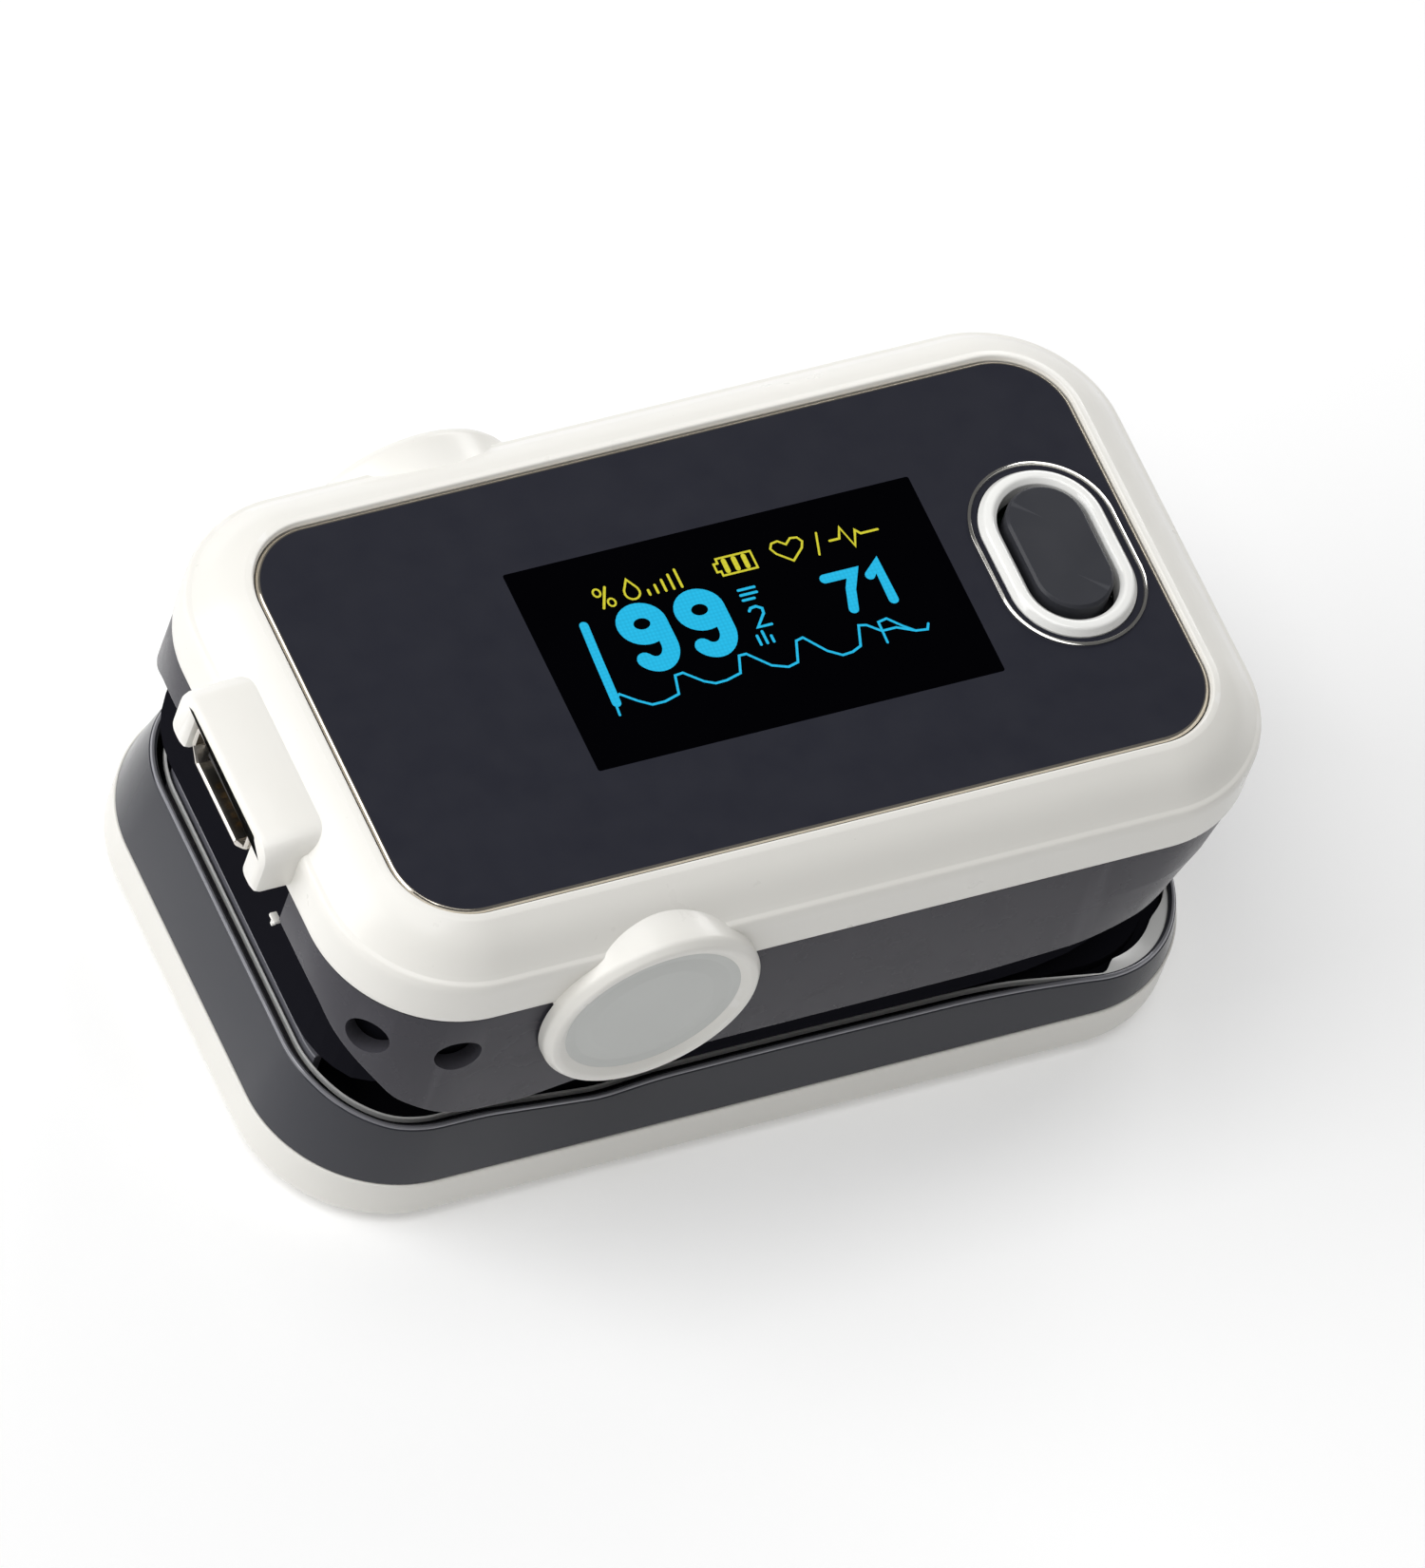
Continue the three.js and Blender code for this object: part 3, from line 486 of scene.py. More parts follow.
# CAD nodes that keep their shape
KEPT = {
    "lower_tray": tray_black, "upper_tray": tray_black, "photodiode_board": board_green,
    "photodiode": sensor_chip, "battery_cell": battery_wrap, "emitter_board": board_green,
    "emitter_leds": led_epoxy, "main_board": board_green, "board_screw_1": screw_steel,
    "board_screw_2": screw_steel, "board_screw_3": screw_steel, "microcontroller": chip_black,
    "usb_tongue": chip_black,
    "display_spacer": spacer_white, "oled_module": oled_glass, "tact_switch": chip_black,
    "hinge_pin_right": pin_steel, "hinge_pin_left": pin_steel, "switch_plunger": plunger_brown,
}
for name, material in KEPT.items():
    mesh = NODES[name].data
    mesh.materials.clear()
    mesh.materials.append(material)
    mesh.shade_smooth()
    mesh.set_sharp_from_angle(angle=math.radians(30))

# ---------------------------------------------------------------- white top shell with its bosses and hood
shell_points = outline(HALF_L, HALF_W, CORNER, 150, 24, 28)
SHELL_WALL = 1.3
UNDER_SHOULDER_Z = 23.0
shell_profile = [(0.12, SHELL_FOOT, 0.1)]
shell_profile += [(0.0, SHELL_FOOT + rise, 0) for rise in (0.2, 0.6, 1.0, 1.4, 1.8, 2.2, 2.6, 3.0)]
shell_profile += [(inset, SHELL_FOOT + rise, radius) for inset, rise, radius in (
    (0.12, 3.38, 0.3), (0.42, 3.52, 0.25), (0.62, 3.72, 0.2), (0.95, 4.08, 0), (1.25, 4.44, 0),
    (1.6, 4.80, 0), (2.0, 5.12, 0), (2.4, 5.38, 0),
)]
shell_profile += [
    (3.0, SHELL_TOP - 0.12, 0.4), (WINDOW_INSET - 0.18, SHELL_TOP, 0.14),
    (WINDOW_INSET - 0.05, SHELL_TOP - 0.3, 0.05), (WINDOW_INSET - 0.05, window_low.z - 0.05, 0),
    (WINDOW_INSET + 0.9, window_low.z - 0.05, 0.1), (WINDOW_INSET + 0.9, window_low.z - 0.6, 0.1),
    (2.5, window_low.z - 0.85, 0.3), (SHELL_WALL, UNDER_SHOULDER_Z, 0.3), (SHELL_WALL, SHELL_FOOT, 0),
]
SEAT_DEPTH = 0.85
BOSS_ROOT_Y = 14.4
BOSS_SEGMENTS = 144


def smooth(low, high, value):
    """0 below low, 1 above high, and a smooth step between them."""
    t = min(1.0, max(0.0, (value - low) / (high - low)))
    return t * t * (3 - 2 * t)


def boss(side):
    """Round boss with a soft rim and a shallow seat; its upper half reaches back into the shoulder."""
    seat = BOSS_Y - SEAT_DEPTH
    section = rounded([
        (0.05, seat, 0), (INSERT_R - 0.1, seat, 0.05), (INSERT_R, BOSS_Y - 0.34, 0.06),
        (INSERT_R + 0.5, BOSS_Y - 0.02, 0.5), (BOSS_R - 0.4, BOSS_Y, 0.5), (BOSS_R - 0.02, BOSS_Y - 0.5, 0.6),
        (BOSS_R, HALF_W + 0.05, 0.1),
    ], False, 6)
    rows = []
    for i in range(BOSS_SEGMENTS):
        a = 2 * math.pi * i / BOSS_SEGMENTS
        c, s = math.cos(a), math.sin(a)
        buried = HINGE_Z + BOSS_R * s > SHELL_FOOT + 0.25
        root = BOSS_ROOT_Y if buried else HALF_W + 0.06
        row = [(HINGE_X + r * c, side * y, HINGE_Z + r * s) for r, y in section]
        top = min(HINGE_Z + BOSS_R * s, SHELL_TOP - 0.12)
        row.append((HINGE_X + BOSS_R * c, side * root, top))
        row.append((HINGE_X, side * root, min(HINGE_Z + 2.2, top) if buried else HINGE_Z))
        rows.append(row)
    return sweep(rows, True, False)


# The hood over the socket: an arch swept forward from the rear, with a slot under it
HOOD_LOW, HOOD_TOP, HOOD_FALL, HOOD_RUN = 20.95, 25.3, 0.35, 3.4
HOOD_HALF_W, SLOT_HALF_W, SLOT_TOP = 5.95, 4.05, 24.25
hood_stations = ((0.3, 0.42), (0.36, 0.24), (0.5, 0.08), (0.78, 0.0), (2.4, 0.0), (3.4, 0.0), (4.6, 0.0))
hood_rows = []
for x, inset in hood_stations:
    top = HOOD_TOP - HOOD_FALL * max(0.0, 1 - x / HOOD_RUN) - inset
    leg, slot, foot = HOOD_HALF_W - inset, SLOT_HALF_W + inset, HOOD_LOW + inset
    hood_rows.append([(shell_low.x + x, y, z) for y, z in rounded([
        (-leg, foot, 0.6), (-slot, foot, 0.5), (-slot, SLOT_TOP + inset, 0.25),
        (slot, SLOT_TOP + inset, 0.25), (slot, foot, 0.5), (leg, foot, 0.6), (leg, top, 1.5), (-leg, top, 1.5),
    ], True, 7)])
hood = sweep(hood_rows, False, True)

piece(
    "top_shell",
    [band(shell_points, shell_profile, True, 4), boss(1), boss(-1), hood],
    white_shell, "upper_jaw", ["top_cover"],
)

for word, side in (("right", -1), ("left", 1)):
    face = abs(insert_high.y)
    dish = lathe([
        (0.02, side * (face - 0.5), 0), (INSERT_R - 0.12, side * (face - 0.5), 0.05),
        (INSERT_R + 0.03, side * (face - 0.11), 0.03), (INSERT_R - 0.6, side * (face - 0.2), 0.5),
        (INSERT_R - 1.6, side * (face - 0.08), 0.8), (0.02, side * (face - 0.04), 0),
    ], (HINGE_X, HINGE_Z))
    piece(f"boss_insert_{word}", [dish], insert_grey, "upper_jaw", [f"side_insert_{word}"])


# ---------------------------------------------------------------- dark frames and white base
def along(stations, x):
    """Height of a broken line of (x, height) stations at x."""
    if x <= stations[0][0]:
        return stations[0][1]
    for (x0, v0), (x1, v1) in zip(stations, stations[1:]):
        if x <= x1:
            return v0 + (v1 - v0) * (x - x0) / (x1 - x0)
    return stations[-1][1]


def eased(stations, x, spread=0.7):
    """The same line with its kinks softened over a short stretch."""
    return sum(along(stations, x + spread * k / 3) for k in range(-3, 4)) / 7


WALL = 1.05
FRAME_INSET = 0.12
upper_edge = [
    (-29, 18.0), (-28.5, 16.4), (-27.6, 15.2), (-26.2, 13.8), (-25, 12.5), (-22.4, 11.3), (-20.4, 10.7),
    (-17, 10.5), (-13, 11.3), (-7, 11.6), (12, 11.7), (17, 12.1), (20, 12.6), (23, 13.2), (26, 13.4),
    (29, 13.0),
]
lower_edge = [
    (-29, 9.0), (-27, 8.5), (-24, 8.0), (-18, 7.9), (-14, 7.2), (-10.5, 6.6), (-7, 7.1), (0, 7.1),
    (12, 6.9), (16, 6.7), (20, 6.4), (23, 6.0), (26, 5.5), (29, 5.2),
]


def upper_foot(x):
    """Inset and height of the upper frame's foot, which draws in towards the mouth."""
    return FRAME_INSET + 1.75 * smooth(17, 29, x), eased(upper_edge, x, 0.4)


def lower_top(x):
    """Inset and height of the lower frame's top edge, which leans in most at the rear."""
    return 1.05 - 0.65 * smooth(12, 29, x), eased(lower_edge, x, 0.8)


def upper_section(p):
    """Wall of the upper frame."""
    foot_in, foot = upper_foot(p[0])
    waist_in = FRAME_INSET + (foot_in - FRAME_INSET) * 0.35
    waist = (SHELL_FOOT + foot) / 2
    top = frame_high.z
    return [
        (FRAME_INSET, top, 0.05), (waist_in, waist, 1.5), (foot_in, foot, 0.16), (foot_in + WALL, foot, 0.1),
        (WALL + waist_in, waist, 1.0), (FRAME_INSET + WALL, top, 0.05),
    ]


frame_points = outline(HALF_L, HALF_W, CORNER, 90, 24, 36)
upper_skin = piece("upper_frame_skin", [band(frame_points, upper_section, True, 5)], dark_frame, "upper_jaw",
                   ["upper_frame"])
# Two lanyard holes at one rear corner, and the opening behind the socket
LANYARD_R = 1.35
CORNER_HOLE, CORNER_HOLE_TURN = (-27.0, -14.2, 17.2), math.radians(-52)
SIDE_HOLE = (-22.3, 17.0)


def drill(y0, y1, centre):
    """A lanyard hole's cutter along Y."""
    return lathe([(0.02, y0, 0), (LANYARD_R, y0, 0), (LANYARD_R, y1, 0), (0.02, y1, 0)], centre, "y", 48)


corner_hole = placed(
    drill(-2.5, 2.5, (0, 0)), Matrix.Translation(CORNER_HOLE) @ Matrix.Rotation(CORNER_HOLE_TURN, 4, "Z"))
side_hole = drill(-18, -14, SIDE_HOLE)
bay = block(-31, -25, -HOOD_HALF_W, HOOD_HALF_W, 17, 21, 0.02, 1)
cut(upper_skin, [side_hole, corner_hole, bay])


def lower_section(p):
    """Wall of the lower frame."""
    draft, rim = lower_top(p[0])
    foot = lower_low.z
    return [
        (0.1, foot, 0.04), (draft - 0.02, rim - 0.1, 0.1), (draft + 0.22, rim + 0.06, 0.1),
        (draft + 0.42, rim - 0.05, 0.08), (draft + 0.6, rim - 1.1, 0.4), (WALL + 0.2, foot, 0.05),
    ]


def lower_rim_highlight_section(p):
    """A thin bead on the lower frame's top edge: its rounded shape is modelled, its light grey colour is
    painted highlight for light caught by the edge.
    """
    draft, rim = lower_top(p[0])
    return [
        (draft + 0.02, rim - 0.06, 0.03), (draft + 0.12, rim + 0.09, 0.03), (draft + 0.27, rim + 0.1, 0.03),
        (draft + 0.24, rim - 0.06, 0.03),
    ]


base_points = outline(HALF_L, HALF_W, CORNER + 0.4, 90, 24, 36)
piece("lower_frame_skin", [band(base_points, lower_section, True, 5)], lower_dark, "lower_jaw",
      ["lower_frame"])
# The bead's light grey is painted highlight along the lower frame's top edge.
piece("lower_rim_painted_highlight", [band(base_points, lower_rim_highlight_section, True, 3)], rim_painted_highlight, "lower_jaw")

# The upstanding rear wall inside the lower frame, in mid grey: painted highlight, lighter than the black tray,
# for light along its top edge
REAR_WALL_FOOT, REAR_WALL_TOP = 5.4, 9.0
rear_rows = [[(x - nx * d, y - ny * d, z) for d, z in rounded([
    (2.3, REAR_WALL_FOOT, 0), (2.3, REAR_WALL_TOP - 0.06, 0.05), (2.36, REAR_WALL_TOP, 0.05),
    (2.92, REAR_WALL_TOP, 0.05), (2.95, REAR_WALL_FOOT, 0),
])] for x, y, nx, ny in base_points if x < -HALF_L + 0.3]
piece("tray_rear_wall", [sweep(rear_rows, False, True)], ledge_grey, "lower_jaw")


def ledge_section(p):
    """A step beside the tray, widest at the two mouth corners; its near-white colour is painted reflection of
    bright surroundings on a glossy dark step.
    """
    draft, rim = lower_top(p[0])
    inner = draft + 0.44 + 0.45 * (1 - smooth(14, 22, p[0]))
    width = 0.14 + 0.75 * smooth(21.4, 23, p[0]) * (1 - smooth(27.2, 28.9, p[0]))
    z = rim - 0.2
    return [(inner, z - 0.4, 0), (inner, z, 0.04), (inner + width, z, 0.04), (inner + width, z - 0.4, 0)]


# Near-white ledge: painted reflection, widest where the crescent of reflected light shows at the mouth
# corners.
piece("lower_ledge", [band(base_points, ledge_section, True, 3)], ledge_painted_reflection, "lower_jaw")
GUTTER_LOW, GUTTER_TOP = 4.5, 4.7
piece("lower_gutter", [band(base_points, [
    (1.3, GUTTER_LOW, 0), (1.3, GUTTER_TOP, 0.03), (2.5, GUTTER_TOP, 0.03), (2.5, GUTTER_LOW, 0),
], True, 3)], tray_black, "lower_jaw")

# A thin lip under the upper frame, round the mouth end only
LIP_REAR_X = 4
first = next(i for i, p in enumerate(frame_points) if p[0] < LIP_REAR_X)
last = max(i for i, p in enumerate(frame_points) if p[0] < LIP_REAR_X)
lip_rows = []
for x, y, nx, ny in frame_points[last + 1:] + frame_points[:first]:
    foot_in, foot = upper_foot(x)
    inner = foot_in + WALL + 0.05
    outer = inner + 0.3
    lip_rows.append([(x - nx * d, y - ny * d, z) for d, z in rounded([
        (inner, foot + 0.3, 0), (inner, foot - 0.42, 0.06), (outer, foot - 0.42, 0.06),
        (outer, foot + 0.3, 0),
    ])])
piece("upper_tray_lip", [sweep(lip_rows, False, True)], ledge_grey, "upper_jaw")

base_shell = piece("base_shell", [band(base_points, [
    (7.9, 0.22, 0), (3.2, 0.22, 0.1), (3.0, 0.0, 0.1), (0.95, 0.0, 0.5), (0.0, 0.95, 0.8),
    (0.0, base_high.z, 0.12), (1.3, base_high.z, 0.08), (1.3, 1.2, 0.3), (7.9, 1.2, 0),
], False, 6)], white_base, "lower_jaw", ["bottom_cover"])
screw_sites = []
for i in range(1, 5):
    low, high = box(f"base_screw_{i}")
    screw_sites.append(((low.x + high.x) / 2, (low.y + high.y) / 2, low.z, high.z, (high.x - low.x) / 2))
cut(base_shell, [lathe([(0.02, -1, 0), (2.1, -1, 0), (2.1, 0.7, 0), (0.02, 0.7, 0)], (x, y), "z", 48)
                 for x, y, _, _, _ in screw_sites])
for i, (x, y, z0, z1, r) in enumerate(screw_sites, 1):
    head = lathe([(0.02, z0 + 0.02, 0), (r * 0.6, z0, 0.2), (r, z0 + 0.25, 0.15), (r, z0 + 0.55, 0.05),
                  (r * 0.42, z0 + 0.6, 0.05), (r * 0.42, z1 - 0.4, 0.05), (0.02, z1, 0)], (x, y), "z", 48)
    screw = piece(f"base_screw_head_{i}", [head], screw_steel, "lower_jaw",
                  [f"base_screw_{i}"])
    cross = []
    for turn in (20, 110):
        arm = block(-r * 0.55, r * 0.55, -0.18, 0.18, -0.2, 0.36, 0.02, 1)
        spun = Matrix.Rotation(math.radians(turn), 4, "Z")
        cross.append(placed(arm, Matrix.Translation((x, y, z0)) @ spun))
    cut(screw, cross)

# ---------------------------------------------------------------- window, display and readout
window_points = outline(HALF_L, HALF_W, CORNER, 2, 2, 36)
hole_r = (bezel_high.x - bezel_low.x) / 2 + 0.05
hole_half = (bezel_high.y - bezel_low.y) / 2 + 0.05
window = piece("window_panel", [band(window_points, [
    (WINDOW_INSET + 0.12, window_low.z, 0), (WINDOW_INSET + 0.04, window_low.z + 0.1, 0.02),
    (WINDOW_INSET + 0.04, window_high.z - 0.16, 0.02), (WINDOW_INSET + 0.24, window_high.z, 0),
], False, 3)], window_dark, "upper_jaw", ["display_window"], sharp=20)
button_hole = band(outline(hole_r, hole_half, hole_r - 0.01, 2, 2, 24),
                   [(0, window_low.z - 1, 0), (0, window_high.z + 1, 0)], False, 1, (BUTTON_X, 0))
cut(window, [button_hole], 20)
piece("window_bevel", [band(window_points, [
    (WINDOW_INSET + 0.04, window_high.z - 0.2, 0), (WINDOW_INSET + 0.03, window_high.z - 0.14, 0.02),
    (WINDOW_INSET + 0.2, window_high.z + 0.012, 0.02), (WINDOW_INSET + 0.27, window_high.z + 0.004, 0),
], True, 2)], window_edge, "upper_jaw")

face_z = window_high.z
DISPLAY = (-11.3, 14.1, -6.45, 7.15)
DISPLAY_CORNER = 0.15
INK_LIFT = 0.02
x0, x1, y0, y1 = DISPLAY
cx, cy = (x0 + x1) / 2, (y0 + y1) / 2
piece("display_area", [band(outline((x1 - x0) / 2, (y1 - y0) / 2, DISPLAY_CORNER, 1, 1, 4), [
    (0.0, face_z - 0.05, 0), (0.0, face_z + 0.004, 0), (0.02, face_z + 0.008, 0),
], False, 1, (cx, cy))], oled_glass, "upper_jaw")

ink = face_z + INK_LIFT


def nine(x, y, w, h, weight):
    """A bold round nine in a box w wide and h high, its lower left corner at x, y."""
    half = w / 2 - weight / 2
    top = y + h - weight / 2
    ring_h = h * 0.3 - weight / 2
    middle = top - ring_h
    ring = arc(x + w / 2, middle, half, ring_h, 0, 360, 30)[:-1]
    tail = [(x + w - weight / 2, middle)]
    tail += arc(x + w / 2, y + weight / 2 + h * 0.26, half, h * 0.26, 0, -140, 18)
    return [stroke(ring, weight, ink, True), stroke(tail, weight, ink)]


def run(points, weight, closed=False):
    """A ribbon of the readout."""
    return stroke(points, weight, ink, closed)


MARK_W, WAVE_W, ICON_W, DIGIT_W = 0.17, 0.15, 0.13, 0.6
cyan = []
for x in (-6.4, -2.8):
    cyan += nine(x, -1.25, 3.05, 4.65, 1.02)
cyan += [run([(6.55, 2.0), (8.3, 2.0), (7.75, 1.0), (7.35, -0.3)], DIGIT_W)]
cyan += [run([(9.2, 1.55), (9.85, 2.1), (9.85, -0.3)], DIGIT_W)]
cyan += [run([(-8.15, 2.75), (-8.3, 0.4), (-8.45, -2.5)], 0.55)]
two = [(1.45, 1.15), (1.6, 1.32), (1.95, 1.36), (2.25, 1.15), (2.2, 0.82), (1.5, 0.02), (2.35, 0.02)]
cyan += [run(two, MARK_W)]
cyan += [run([(1.4, y), (x, y)], MARK_W) for x, y in ((2.4, 2.6), (2.4, 2.25), (2.1, 1.9))]
cyan += [run([(x, y), (x, -1.1)], MARK_W) for x, y in ((1.2, -0.5), (1.6, -0.3), (2.0, -0.7))]
wave = [
    (-8.6, -3.3), (-8.5, -2.3), (-8.05, -2.0), (-7.2, -2.7), (-6.5, -3.15), (-5.7, -3.15), (-4.75, -2.9),
    (-4.45, -1.7), (-3.95, -1.65), (-3.0, -2.5), (-2.4, -2.8), (-1.7, -2.78), (-0.75, -2.55), (-0.35, -1.45),
    (0.1, -1.45), (1.2, -2.55), (2.1, -2.9), (2.75, -2.75), (3.25, -1.4), (3.7, -1.3), (4.7, -2.5),
    (5.45, -3.0), (6.1, -2.95), (6.7, -2.7), (7.15, -1.4), (7.6, -1.5), (8.3, -2.1), (9.2, -2.1),
    (10.2, -2.6), (10.9, -2.7), (11.1, -2.35),
]
cyan += [run(wave, WAVE_W), run([(8.3, -2.9), (8.35, -1.5), (8.9, -1.4), (9.6, -2.1), (10.2, -2.6)], WAVE_W)]
piece("readout_cyan", cyan, display_cyan, "upper_jaw", flat=True)

yellow = [run([(-6.55, 3.55), (-5.95, 4.85)], 0.16)]
yellow += [run(arc(-6.55, 4.6, 0.22, 0.26, 0, 360, 12)[:-1], 0.12, True)]
yellow += [run(arc(-5.95, 3.8, 0.22, 0.26, 0, 360, 12)[:-1], 0.12, True)]
drop = [(-4.55, 5.0), (-4.95, 4.35)] + arc(-4.55, 4.1, 0.45, 0.45, 160, 380, 10) + [(-4.15, 4.35)]
yellow += [run(drop, ICON_W, True)]
for k in range(5):
    yellow.append(run([(-3.6 + 0.5 * k, 3.7), (-3.6 + 0.5 * k, 4.0 + 0.22 * k)], 0.16))
cell = [
    (1.0, 3.75), (3.15, 3.75), (3.15, 4.9), (1.0, 4.9), (1.0, 4.6), (0.75, 4.6), (0.75, 4.05), (1.0, 4.05),
]
yellow += [run(cell, ICON_W, True)]
for k in range(3):
    yellow.append(run([(1.4 + 0.62 * k, 3.98), (1.4 + 0.62 * k, 4.68)], 0.3))
heart = [
    (5.35, 3.62), (4.55, 4.3), (4.35, 4.7), (4.55, 5.02), (4.95, 5.08), (5.35, 4.75), (5.75, 5.08),
    (6.15, 5.02), (6.35, 4.7), (6.15, 4.3),
]
yellow += [run(heart, ICON_W, True), run([(6.95, 3.6), (7.35, 5.0)], ICON_W)]
beat = [(7.9, 4.3), (8.5, 4.3), (8.8, 5.0), (9.2, 3.6), (9.6, 4.6), (9.85, 4.3), (10.9, 4.3)]
yellow += [run(beat, WAVE_W)]
piece("readout_yellow", yellow, display_yellow, "upper_jaw", flat=True)

# ---------------------------------------------------------------- button, its ring and the thin outer trim
ring_x, ring_y = (bezel_high.x - bezel_low.x) / 2, (bezel_high.y - bezel_low.y) / 2
bezel_points = outline(ring_x, ring_y, ring_x - 0.01, 2, 8, 30)
ring_top = bezel_high.z
piece("button_ring", [band(bezel_points, [
    (0.0, window_low.z, 0), (0.0, face_z + 0.06, 0.05), (0.28, ring_top - 0.06, 0.3), (0.75, ring_top, 0.3),
    (1.05, ring_top - 0.3, 0.15), (1.1, window_low.z, 0),
], True, 5, (BUTTON_X, 0))], bezel_white, "upper_jaw", ["button_bezel"])
TRIM_GAP = 0.62
trim_points = outline(ring_x + TRIM_GAP, ring_y + TRIM_GAP, ring_x + 0.6, 2, 8, 30)
piece("button_trim", [band(trim_points, [
    (0.0, face_z - 0.1, 0), (0.03, face_z + 0.1, 0.03), (0.2, face_z + 0.16, 0.06), (0.3, face_z - 0.1, 0),
], True, 3, (BUTTON_X, 0))], trim_chrome, "upper_jaw")

cap_x, cap_y = (cap_high.x - cap_low.x) / 2, (cap_high.y - cap_low.y) / 2
cap_points = outline(cap_x, cap_y, cap_x - 0.01, 2, 8, 30)
piece("button_cap", [band(cap_points, [
    (cap_x - 0.25, cap_low.z, 0), (0.3, cap_low.z, 0.1), (0.0, cap_low.z + 0.15, 0.05),
    (0.0, cap_high.z - 0.16, 0.04), (0.16, cap_high.z, 0.04), (0.24, cap_high.z, 0), (0.3, cap_high.z, 0),
    (cap_x - 0.25, cap_high.z, 0),
], False, 4, (BUTTON_X, 0))], button_dark, "button", ["power_button"])

# ---------------------------------------------------------------- charging socket
w, h0, h1 = usb_high.y, usb_low.z, usb_high.z


def usb_outline(inset):
    """The socket's outline: flat above, with two slanted corners below."""
    a = w - inset
    return rounded([(-a, h1 - inset, 0.35), (-a, h0 + 0.9, 0.25), (-a + 0.85, h0 + inset, 0.25),
                    (a - 0.85, h0 + inset, 0.25), (a, h0 + 0.9, 0.25), (a, h1 - inset, 0.35)], True, 4)


def usb_row(x, inset):
    """The socket's outline at x, drawn in by an inset."""
    return [(x, y, z) for y, z in usb_outline(inset)]


usb_shell = sweep([usb_row(usb_high.x, 0), usb_row(usb_low.x + 0.12, 0), usb_row(usb_low.x, 0.08),
                   usb_row(usb_low.x, 0.2), usb_row(usb_low.x + 0.1, 0.28), usb_row(usb_high.x - 0.5, 0.28)],
                  False, True)
piece("usb_shell", [usb_shell], usb_metal, "upper_jaw", ["usb_socket"])
CONTACT_HALF_W, CONTACT_PITCH = 0.17, 0.65
contacts = [
    block(tongue_low.x + 0.3, tongue_high.x - 0.4, y - CONTACT_HALF_W, y + CONTACT_HALF_W,
          tongue_low.z - 0.05, tongue_low.z + 0.1, 0.03, 2)
    for y in (CONTACT_PITCH * k for k in range(-2, 3))
]
piece("usb_contacts", contacts, contact_gold, "upper_jaw")
# A small white T under the hood, a bar and its stem: painted highlight, a white block set where the dark
# recess shows a bright glint
t_highlight = [
    block(-28.95, -28.5, -5.75, -5.05, 16.9, 17.15, 0.06, 2),
    block(-28.85, -28.55, -5.5, -5.25, 16.35, 16.95, 0.06, 2),
]
piece("white_t_highlight", t_highlight, white_shell, "upper_jaw")


# ---------------------------------------------------------------- hinge springs
WIRE_R, COIL_R, COIL_TURNS, COIL_STEPS = 0.24, 2.5, 2.25, 144


def spring(side):
    """A torsion spring round a hinge pin: a straight leg, the coil and a second leg."""
    low, high = box("hinge_spring_left")
    first, last = low.y + WIRE_R, high.y - WIRE_R
    points = [(HINGE_X - COIL_R, side * first, HINGE_Z + 2.3 - 0.4 * k) for k in range(6)]
    for i in range(COIL_STEPS + 1):
        t = i / COIL_STEPS
        a = math.pi + 2 * math.pi * COIL_TURNS * t
        y = side * (first + (last - first) * t)
        points.append((HINGE_X + COIL_R * math.cos(a), y, HINGE_Z + COIL_R * math.sin(a)))
    points += [(HINGE_X + 0.5 * k, side * last, HINGE_Z - COIL_R) for k in range(1, 6)]
    return tube(points, WIRE_R, 12)


for word, side in (("right", -1), ("left", 1)):
    piece(f"spring_wire_{word}", [spring(side)], spring_steel, "upper_jaw",
          [f"hinge_spring_{word}"])


# ---------------------------------------------------------------- silicone finger pads and lens windows
PAD_ROWS = 84
RIB_PITCH, RIB_RISE = 1.6, 0.07


def pad(low, high, flat_z, edge_line, centre_line, up):
    """A moulded silicone pad: a smooth trough with rolled edges and fine grip ribs near the mouth."""
    rows = []
    for i in range(PAD_ROWS + 1):
        x = low.x + (high.x - low.x) * i / PAD_ROWS
        half = high.y - 3.6 * smooth(19, 28, x)
        end = min(x - low.x, high.x - x)
        drop = 0.45 * (1 - min(1.0, end / 0.6)) ** 2
        section = []
        for k in range(-16, 17):
            t = k / 16
            bed = centre_line(x) + (edge_line(x) - centre_line(x)) * abs(t) ** 1.8
            roll = 0.4 * smooth(0.93, 1.0, abs(t)) ** 2
            rib = RIB_RISE * max(0.0, math.cos(2 * math.pi * x / RIB_PITCH))
            rib = rib * smooth(12, 15, x) * (1 - smooth(0.75, 0.9, abs(t)))
            section.append((x, t * half, bed - up * (drop + roll + rib + 0.02)))
        section += [(x, half - 0.05, flat_z), (x, -half + 0.05, flat_z)]
        rows.append(section)
    return sweep(rows, False, True)


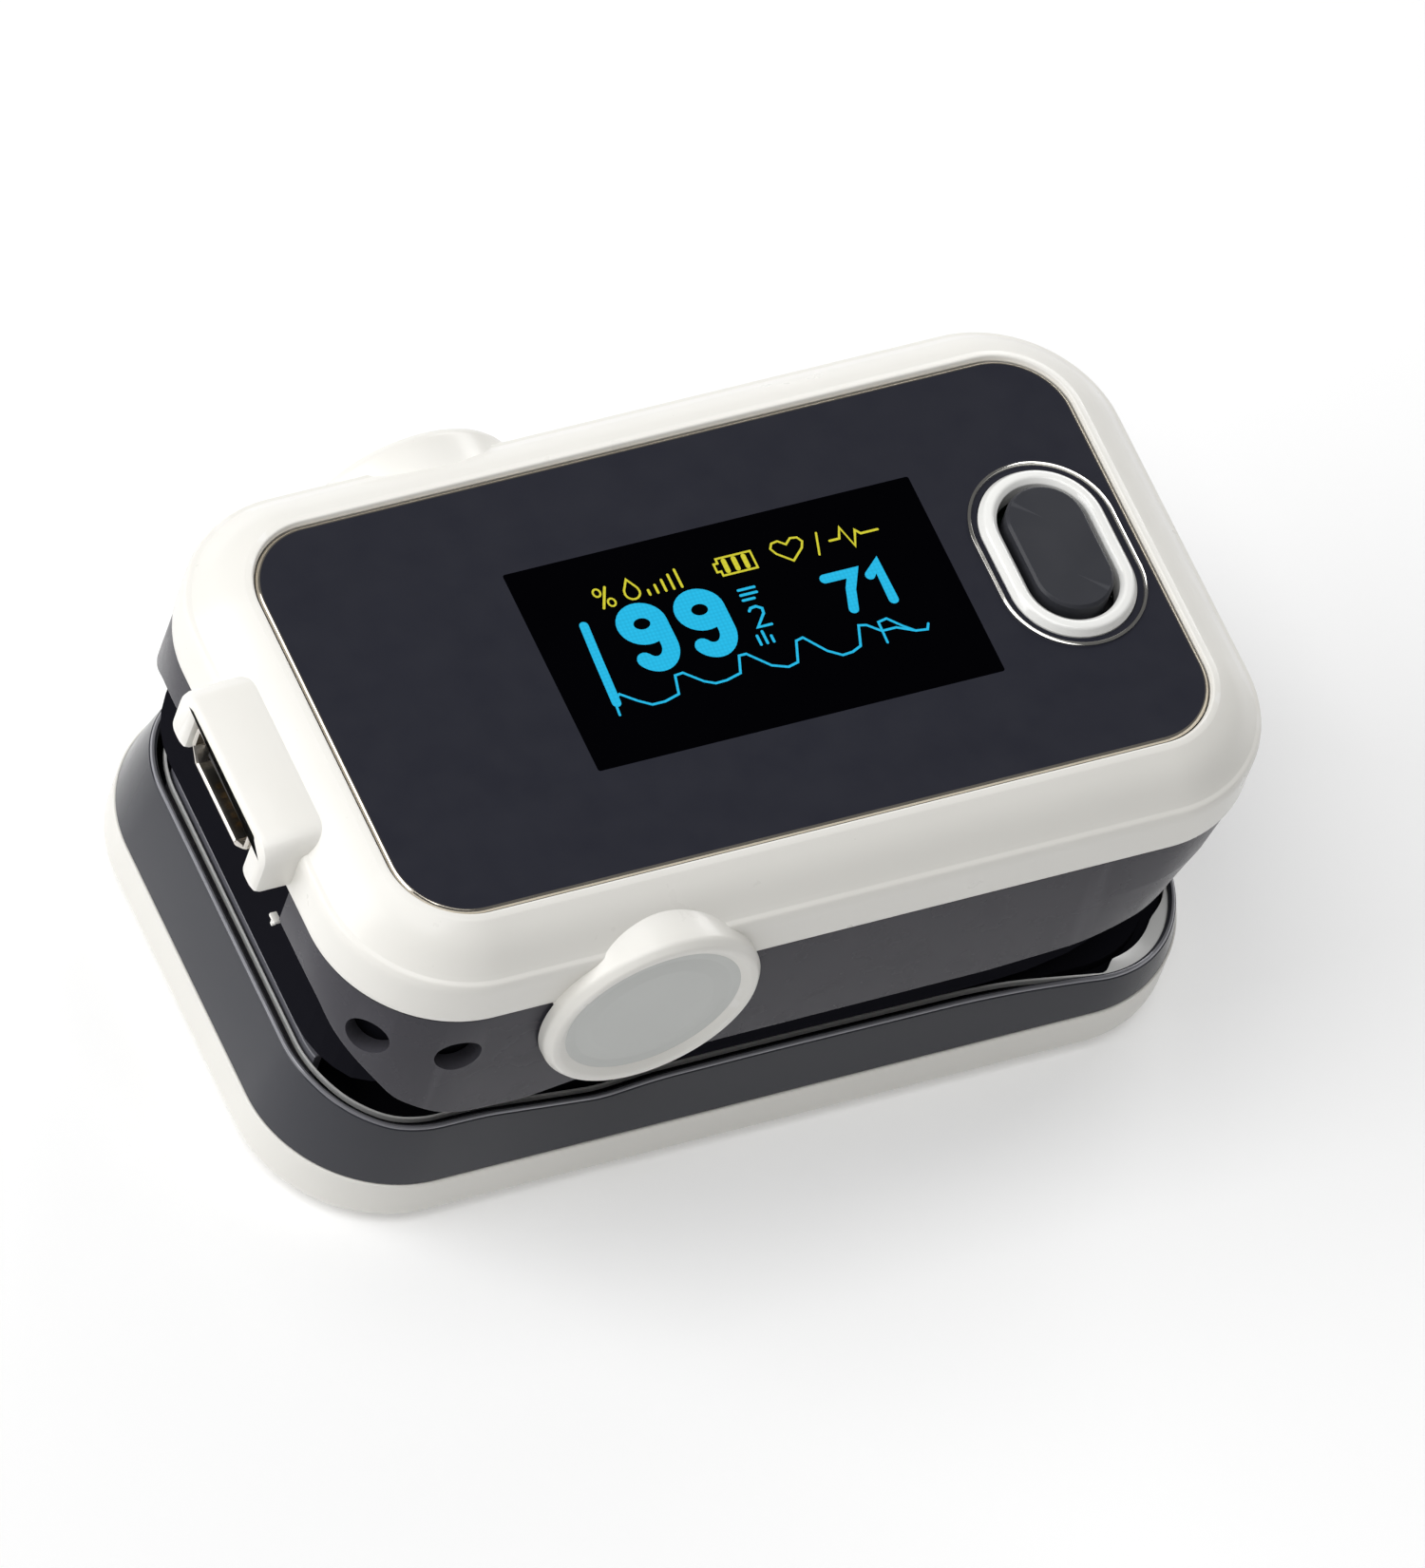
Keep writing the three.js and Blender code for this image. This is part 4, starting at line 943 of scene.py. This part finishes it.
lower_bed = pad(lower_pad_low, lower_pad_high, lower_pad_low.z + 0.01,
                lambda x: eased([(-6.5, 9.5), (14, 9.3), (20, 8.7), (24, 7.6), (27, 6.3)], x, 1.2),
                lambda x: eased([(-6.5, 9.0), (-1, 7.1), (6, 6.5), (16, 6.5), (27, 5.95)], x, 1.8), 1)
upper_bed = pad(upper_pad_low, upper_pad_high, upper_pad_high.z - 0.01,
                lambda x: eased([(-6.5, 10.9), (14, 11.1), (20, 12.2), (24, 13.6), (27, 15.0)], x, 1.2),
                lambda x: eased([(-6.5, 12.0), (-1, 13.9), (6, 14.6), (16, 14.8), (27, 16.4)], x, 1.8), -1)
BORE_LOW, BORE_TOP = 4, 17.9
bore = lathe([
    (0.02, BORE_LOW, 0), (LENS_R + 0.1, BORE_LOW, 0), (LENS_R + 0.1, BORE_TOP, 0), (0.02, BORE_TOP, 0),
], (SENSOR_X, 0), "z", 64)


def collar(z, up):
    """The raised silicone ring round a lens."""
    return lathe([
        (LENS_R + 0.1, z - up * 0.5, 0), (LENS_R + 0.1, z + up * 0.12, 0.1),
        (LENS_R + 0.75, z + up * 0.12, 0.15), (LENS_R + 1.0, z - up * 0.35, 0),
    ], (SENSOR_X, 0), "z", 64, True)


lower_pad = piece("finger_pad_lower", [lower_bed], pad_silicone, "lower_jaw",
                  ["lower_finger_pad"], 50)
cut(lower_pad, [bore], 50)
upper_pad = piece("finger_pad_upper", [upper_bed], pad_silicone, "upper_jaw",
                  ["upper_finger_pad"], 50)
cut(upper_pad, [bore], 50)
piece("pad_collar_lower", [collar(lower_lens_high.z + 0.1, 1)], pad_silicone, "lower_jaw")
piece("pad_collar_upper", [collar(upper_lens_low.z - 0.1, -1)], pad_silicone, "upper_jaw")
for word, node, z0, z1, body in (
    ("lower", "photodiode_lens", lower_lens_low.z, lower_lens_high.z, "lower_jaw"),
    ("upper", "emitter_lens", upper_lens_high.z, upper_lens_low.z, "upper_jaw"),
):
    dome = lathe([(0.02, z0, 0), (LENS_R, z0, 0.02), (LENS_R, z0 + (z1 - z0) * 0.55, 0.1),
                  (LENS_R * 0.55, z0 + (z1 - z0) * 0.92, 0.8), (0.02, z1, 0)], (SENSOR_X, 0), "z", 64)
    piece(f"lens_{word}", [dome], lens_clear, body, [node])

# ---------------------------------------------------------------- camera, floor and light
TARGET = Vector((0, 0, 0.016))
AZIMUTH, ELEVATION, ROLL = math.radians(-41.556), math.radians(53.413), math.radians(21.468)
DISTANCE = 1.44715
SLIDE_RIGHT, SLIDE_DOWN = 0.001016, 0.002711
FOCAL_LENGTH, SENSOR_WIDTH = 593.6, 36
FLOOR_HALF = 1.5
FLOOR_GLOW, STUDIO_LIGHT = 0.2, 0.14
back = Vector((
    math.sin(AZIMUTH) * math.cos(ELEVATION), -math.cos(AZIMUTH) * math.cos(ELEVATION), math.sin(ELEVATION),
))
level = Vector((math.cos(AZIMUTH), math.sin(AZIMUTH), 0))
upright = back.cross(level)
right = level * math.cos(ROLL) + upright * math.sin(ROLL)
up = upright * math.cos(ROLL) - level * math.sin(ROLL)
camera = bpy.data.objects.new("camera", bpy.data.cameras.new("camera"))
camera.data.sensor_width = SENSOR_WIDTH
camera.data.lens = FOCAL_LENGTH
camera.data.clip_start = 0.05
camera.data.clip_end = 20
turned = Matrix((right, up, back)).transposed().to_4x4()
place = TARGET + back * DISTANCE + right * SLIDE_RIGHT - up * SLIDE_DOWN
camera.matrix_world = Matrix.Translation(place) @ turned
bpy.context.scene.collection.objects.link(camera)
bpy.context.scene.camera = camera

floor_mesh = bpy.data.meshes.new("floor")
floor_corners = [(x * FLOOR_HALF, y * FLOOR_HALF, 0) for x, y in ((-1, -1), (1, -1), (1, 1), (-1, 1))]
floor_mesh.from_pydata(floor_corners, [], [(0, 1, 2, 3)])
floor = bpy.data.objects.new("floor", floor_mesh)
bpy.context.scene.collection.objects.link(floor)
paper = surface("floor_white", linear(238, 238, 238), 0.8, specular=0.1, vary=0.004, bump=0.0)
paper_shader = paper.node_tree.nodes["Principled BSDF"]
paper_shader.inputs["Emission Color"].default_value = (1, 1, 1, 1)
paper_shader.inputs["Emission Strength"].default_value = FLOOR_GLOW
floor_mesh.materials.append(paper)
floor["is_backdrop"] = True


def softbox(name, where, aim, width, height, power):
    """A white area light at a place, turned to face aim."""
    light = bpy.data.lights.new(name, "AREA")
    light.shape = "RECTANGLE"
    light.size = width
    light.size_y = height
    light.energy = power
    obj = bpy.data.objects.new(name, light)
    bpy.context.scene.collection.objects.link(obj)
    way = Vector(aim) - Vector(where)
    obj.matrix_world = Matrix.Translation(where) @ way.to_track_quat("-Z", "Y").to_matrix().to_4x4()


softbox("key", (-0.42, 0.14, 0.26), (0, 0, 0.015), 0.40, 0.34, 1.4)
softbox("overhead", (-0.14, -0.02, 0.62), (0, 0, 0.01), 0.60, 0.50, 2.5)
softbox("rear", (0.48, 0.42, 0.28), (0, 0, 0.015), 0.50, 0.22, 1.6)

world = bpy.data.worlds.new("studio")
world.use_nodes = True
world.node_tree.nodes["Background"].inputs["Color"].default_value = (1, 1, 1, 1)
world.node_tree.nodes["Background"].inputs["Strength"].default_value = STUDIO_LIGHT
bpy.context.scene.world = world
bpy.context.scene.view_settings.view_transform = "Standard"

low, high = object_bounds()
